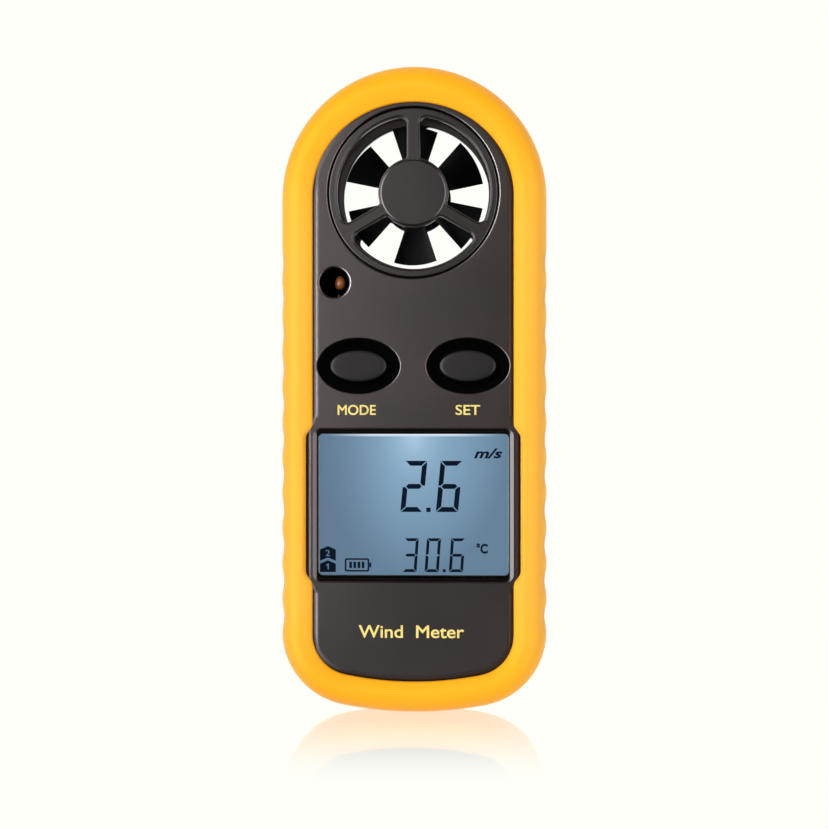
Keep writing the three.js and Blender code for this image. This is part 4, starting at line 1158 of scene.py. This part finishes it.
PAINTS = {
    # The rubber's paler side colour is a painted highlight, and its finger grooves get painted shade.
    "holster_rubber": moulded("yellow_rubber", (250, 175, 18), (247, 168, 13), (0.42, 0.52), grain=1400,
                              wear=0.08, patch=40, specular=0.24, sides=(246, 176, 52)),
    # The casing gets painted shade in its dishes, holes and window seat.
    "casing_plastic": moulded("black_plastic", (26, 24, 22), (16, 15, 14), (0.284, 0.296), grain=1500,
                              relief=0.004, wear=0.05, recess=(FACE, 16.75), crown=(16.2, 0.4)),
    "guard_plastic": moulded("guard_black", (26, 24, 22), (16, 15, 14), (0.28, 0.3), grain=1800,
                             relief=0.006, wear=0.12, specular=0.6),
    # The buttons get painted shade on their sides below the top.
    "button_plastic": moulded("button_black", (24, 24, 23), (18, 18, 17), (0.4, 0.46), grain=2200,
                              relief=0.01, wear=0.03, specular=0.24, recess=(7.66, 16.75)),
    "vane_plastic": moulded("vane_black", (8, 8, 8), (5, 5, 5), (0.5, 0.6), grain=1500, relief=0.01,
                            wear=0.0, specular=0.1),
    "window_clear": clear_paint(),
    "lcd_panel": display_paint(),
    "tape_black": moulded("black_tape", (10, 10, 10), (6, 6, 6), (0.7, 0.8), relief=0.01, specular=0.01),
    "frame_grey": moulded("frame_grey", (150, 150, 156), (136, 136, 144), (0.45, 0.55)),
    "guide_white": moulded("guide_white", (236, 238, 236), (224, 228, 228), (0.3, 0.4)),
    "led_white": moulded("led_white", (246, 243, 220), (236, 230, 196), (0.25, 0.35)),
    "strip_rubber": moulded("strip_rubber", (112, 114, 118), (96, 98, 102), (0.7, 0.8), patch=300),
    "board_laminate": moulded("board_laminate", (38, 104, 62), (26, 84, 48), (0.35, 0.5), patch=200),
    "chip_black": moulded("chip_black", (26, 26, 26), (16, 16, 16), (0.4, 0.6), patch=300),
    "cable_black": moulded("cable_black", (24, 24, 24), (14, 14, 14), (0.5, 0.6), patch=300),
    "capacitor_ceramic": moulded("capacitor_tan", (192, 156, 92), (176, 138, 78), (0.45, 0.55)),
    "bead_glass": moulded("bead_amber", (172, 104, 64), (136, 78, 46), (0.2, 0.3), patch=700, coat=0.4,
                          relief=0.004),
    "plated_steel": moulded("plated_steel", (196, 198, 202), (168, 170, 176), (0.22, 0.36), metal=1.0,
                            patch=250, relief=0.004),
    "cell_steel": moulded("cell_steel", (206, 206, 204), (184, 184, 182), (0.2, 0.34), metal=1.0,
                          patch=150, relief=0.004),
    "bearing_brass": moulded("bearing_brass", (214, 176, 92), (186, 148, 70), (0.25, 0.4), metal=1.0),
    "magnet_ferrite": moulded("magnet_ferrite", (92, 94, 98), (70, 72, 76), (0.45, 0.6), metal=0.7),
    "label_film": moulded("label_film", (206, 208, 210), (190, 192, 196), (0.3, 0.45), patch=30,
                          relief=0.004),
}
INKS = {
    "print_ink": ink("print_ink", (240, 218, 130)),
    "lcd_ink": ink("lcd_ink", (13, 24, 40), rough=0.6, specular=0.0),
    "lcd_pale": ink("lcd_pale", (84, 108, 130), glow=0.6, specular=0.0),
    # Painted light: a paler brown than black plastic, for the light from the backdrop behind the fan.
    "duct_painted_light": moulded("duct_painted_light", (50, 40, 37), (38, 29, 27), (0.6, 0.7), specular=0.01, wear=0.0),
}

# ---------- CAD nodes that stay ----------


def dress_cad_nodes():
    """Gives each CAD node that still shows its finish and softened edges."""
    for name, node in frame["nodes"].items():
        if node.hide_render:
            continue
        node.data.materials.clear()
        node.data.materials.append(PAINTS[SLOTS[name]])
        node.modifiers.new("Joined", "WELD").merge_threshold = 0.001 * MM
        soft = node.modifiers.new("Edges", "BEVEL")
        soft.width = 0.05 * MM
        soft.segments = 2
        soft.limit_method = "ANGLE"
        soft.angle_limit = math.radians(40)
        soft.harden_normals = True


# ---------- stage ----------

BACKDROP = linear(254, 255, 249)
FLOOR_R = 1600


def build_world():
    """A pale studio. Reflections see a soft card in front, strips at the sides and a bright backdrop."""
    world = bpy.data.worlds.new("studio")
    bpy.context.scene.world = world
    tree = Nodes(world)
    x, y, z = tree.axes(tree.add("ShaderNodeTexCoord").outputs["Generated"])
    ahead = tree.product(y, -1.0)
    level = tree.step(0.75, 0.35, tree.size(z))
    off_side = tree.step(0.08, 0.3, ahead)
    card = tree.step(0.80, 0.97, ahead)
    left_strip = tree.product(tree.step(0.35, 0.6, tree.product(x, -1.0)), off_side, level)
    right_strip = tree.product(tree.step(0.35, 0.6, x), off_side, level)
    behind = tree.step(0.05, 0.3, y)
    total = (0.01, 0.01, 0.01)
    for mask, strength, colour in ((card, 0.08, (1, 0.9, 0.84)), (left_strip, 9.0, (1, 0.95, 1)),
                                   (right_strip, 4.0, (1, 0.96, 1.08)), (behind, 1.0, (1, 1, 0.96))):
        scaled = tree.add("ShaderNodeVectorMath", {0: tuple(c * strength for c in colour), "Scale": mask},
                          operation="SCALE").outputs["Vector"]
        total = tree.add("ShaderNodeVectorMath", {0: total, 1: scaled}, operation="ADD").outputs["Vector"]
    glossy = tree.shade("Background", Color=total)
    diffuse = tree.shade("Background", Color=(1, 1, 1, 1), Strength=0.6)
    seen = tree.shade("Background", Color=BACKDROP)
    path = tree.add("ShaderNodeLightPath").outputs
    unseen = tree.mix_shader(path["Is Glossy Ray"], diffuse, glossy)
    either = tree.math("MAXIMUM", path["Is Camera Ray"], path["Is Transmission Ray"])
    tree.add("ShaderNodeOutputWorld", {"Surface": tree.mix_shader(either, unseen, seen)})


def add_light(name, place, aim, size, power, colour=(1, 1, 1), sheen=False):
    """An oval softbox of a (width, height), in metres and watts.

    A sheen light shows only in reflections, and the others only light the surfaces.
    """
    light = bpy.data.lights.new(name, "AREA")
    light.shape = "ELLIPSE"
    light.size, light.size_y = size
    light.energy = power
    light.color = colour
    lamp = new_object(name, light)
    lamp.location = place
    lamp.rotation_euler = (Vector(aim) - Vector(place)).to_track_quat("-Z", "Y").to_euler()
    lamp.visible_glossy = sheen
    lamp.visible_diffuse = not sheen
    lamp.visible_camera = False
    return lamp


def build_lights():
    heart = (0, 0, 0.055)
    add_light("key", (-0.36, -0.62, 0.35), heart, (0.35, 0.35), 2.9)
    add_light("fill", (0.5, -0.5, 0.15), heart, (0.4, 0.4), 0.85, (1, 0.97, 0.94))
    add_light("back_fill", (0.1, 0.7, 0.3), heart, (0.5, 0.5), 3.0)
    add_light("sheen", (-0.09, -0.4, 0.15), (0, 0, 0.07), (0.06, 0.3), 0.21, (1, 0.88, 0.84), sheen=True)


def build_edge_lights(shell):
    """Side lights for the rounded edges of the casing's face, which the holster's lip doesn't shade."""
    shell_alone = bpy.data.collections.new("shell_alone")
    shell_alone.objects.link(shell)
    aside, ahead, up = 0.24, -0.33, 0.06
    for name, side, power, colour in (("edge_left", -1, 5, (1, 0.9, 0.93)),
                                      ("edge_right", 1, 1.8, (1, 0.5, 0.4))):
        lamp = add_light(name, (side * aside, ahead, up), (0, 0, up), (0.06, 0.5), power, colour, sheen=True)
        lamp.light_linking.receiver_collection = shell_alone
        lamp.light_linking.blocker_collection = shell_alone


def floor_paint():
    """White that melts into the backdrop and mirrors the meter faintly near its foot."""
    paint = bpy.data.materials.new("floor_gloss")
    tree = Nodes(paint)
    away = tree.add("ShaderNodeVectorMath", {0: tree.place()}, operation="LENGTH").outputs["Value"]
    viewer = tree.axes(tree.add("ShaderNodeNewGeometry").outputs["Incoming"])
    in_front = tree.step(-0.9, -0.97, viewer[1])
    share = tree.product(tree.step(0.085, 0.0, away), 0.5, in_front)
    around = tree.less(1.0, tree.product(in_front, 0.9))
    shaded = tree.product(tree.step(0.16, 0.0, away), 0.35, around)
    glow = tree.shade("Emission", Color=BACKDROP)
    matt = tree.shade("BsdfDiffuse", Color=BACKDROP)
    mirror = tree.shade("BsdfGlossy", Color=(1.3, 1.25, 1.0, 1), Roughness=0.05)
    plain = tree.mix_shader(shaded, glow, matt)
    tree.add("ShaderNodeOutputMaterial", {"Surface": tree.mix_shader(share, plain, mirror)})
    return paint


def build_floor():
    skin = Skin()
    skin.bm.faces.new([skin.point(x, y, 0) for x, y in circle(FLOOR_R)])
    floor = new_object("floor", skin.mesh("floor"))
    floor.data.materials.append(floor_paint())
    floor.visible_glossy = False


def build_camera():
    """A camera a little to the right of the meter, and turned to it."""
    aside, distance, height = 20.0, 400.0, 51.7
    camera = new_object("camera", bpy.data.cameras.new("camera"))
    camera.data.sensor_width = 36
    camera.data.lens = 99.2
    camera.data.shift_x = -0.00145
    camera.location = (aside * MM, -distance * MM, height * MM)
    camera.rotation_euler = (math.radians(90), 0, math.atan2(aside, distance))
    bpy.context.scene.camera = camera
    bpy.context.scene.view_settings.view_transform = "Standard"


# ---------- the meter ----------

build_holster()
front_shell = build_front_casing()
build_rear_casing()
build_label()
build_guard("front_grille", "front_guard", -1, 13.2)
build_guard("rear_grille", "rear_guard", 1, 13.0)
build_duct()
build_impeller()
build_window()
build_tape()
build_lcd_film()
build_readings()
build_lcd_icons()
build_lettering()
build_lower_mark()
build_button("mode_key_cap", "mode_button", "mode_key", -BUTTON_X)
build_button("set_key_cap", "set_button", "set_key", BUTTON_X)
build_bead()
build_cap()
for screw in [node for node in SLOTS if "_screw_" in node]:
    build_screw(screw)
dress_cad_nodes()
build_world()
build_lights()
build_edge_lights(front_shell)
build_floor()
build_camera()
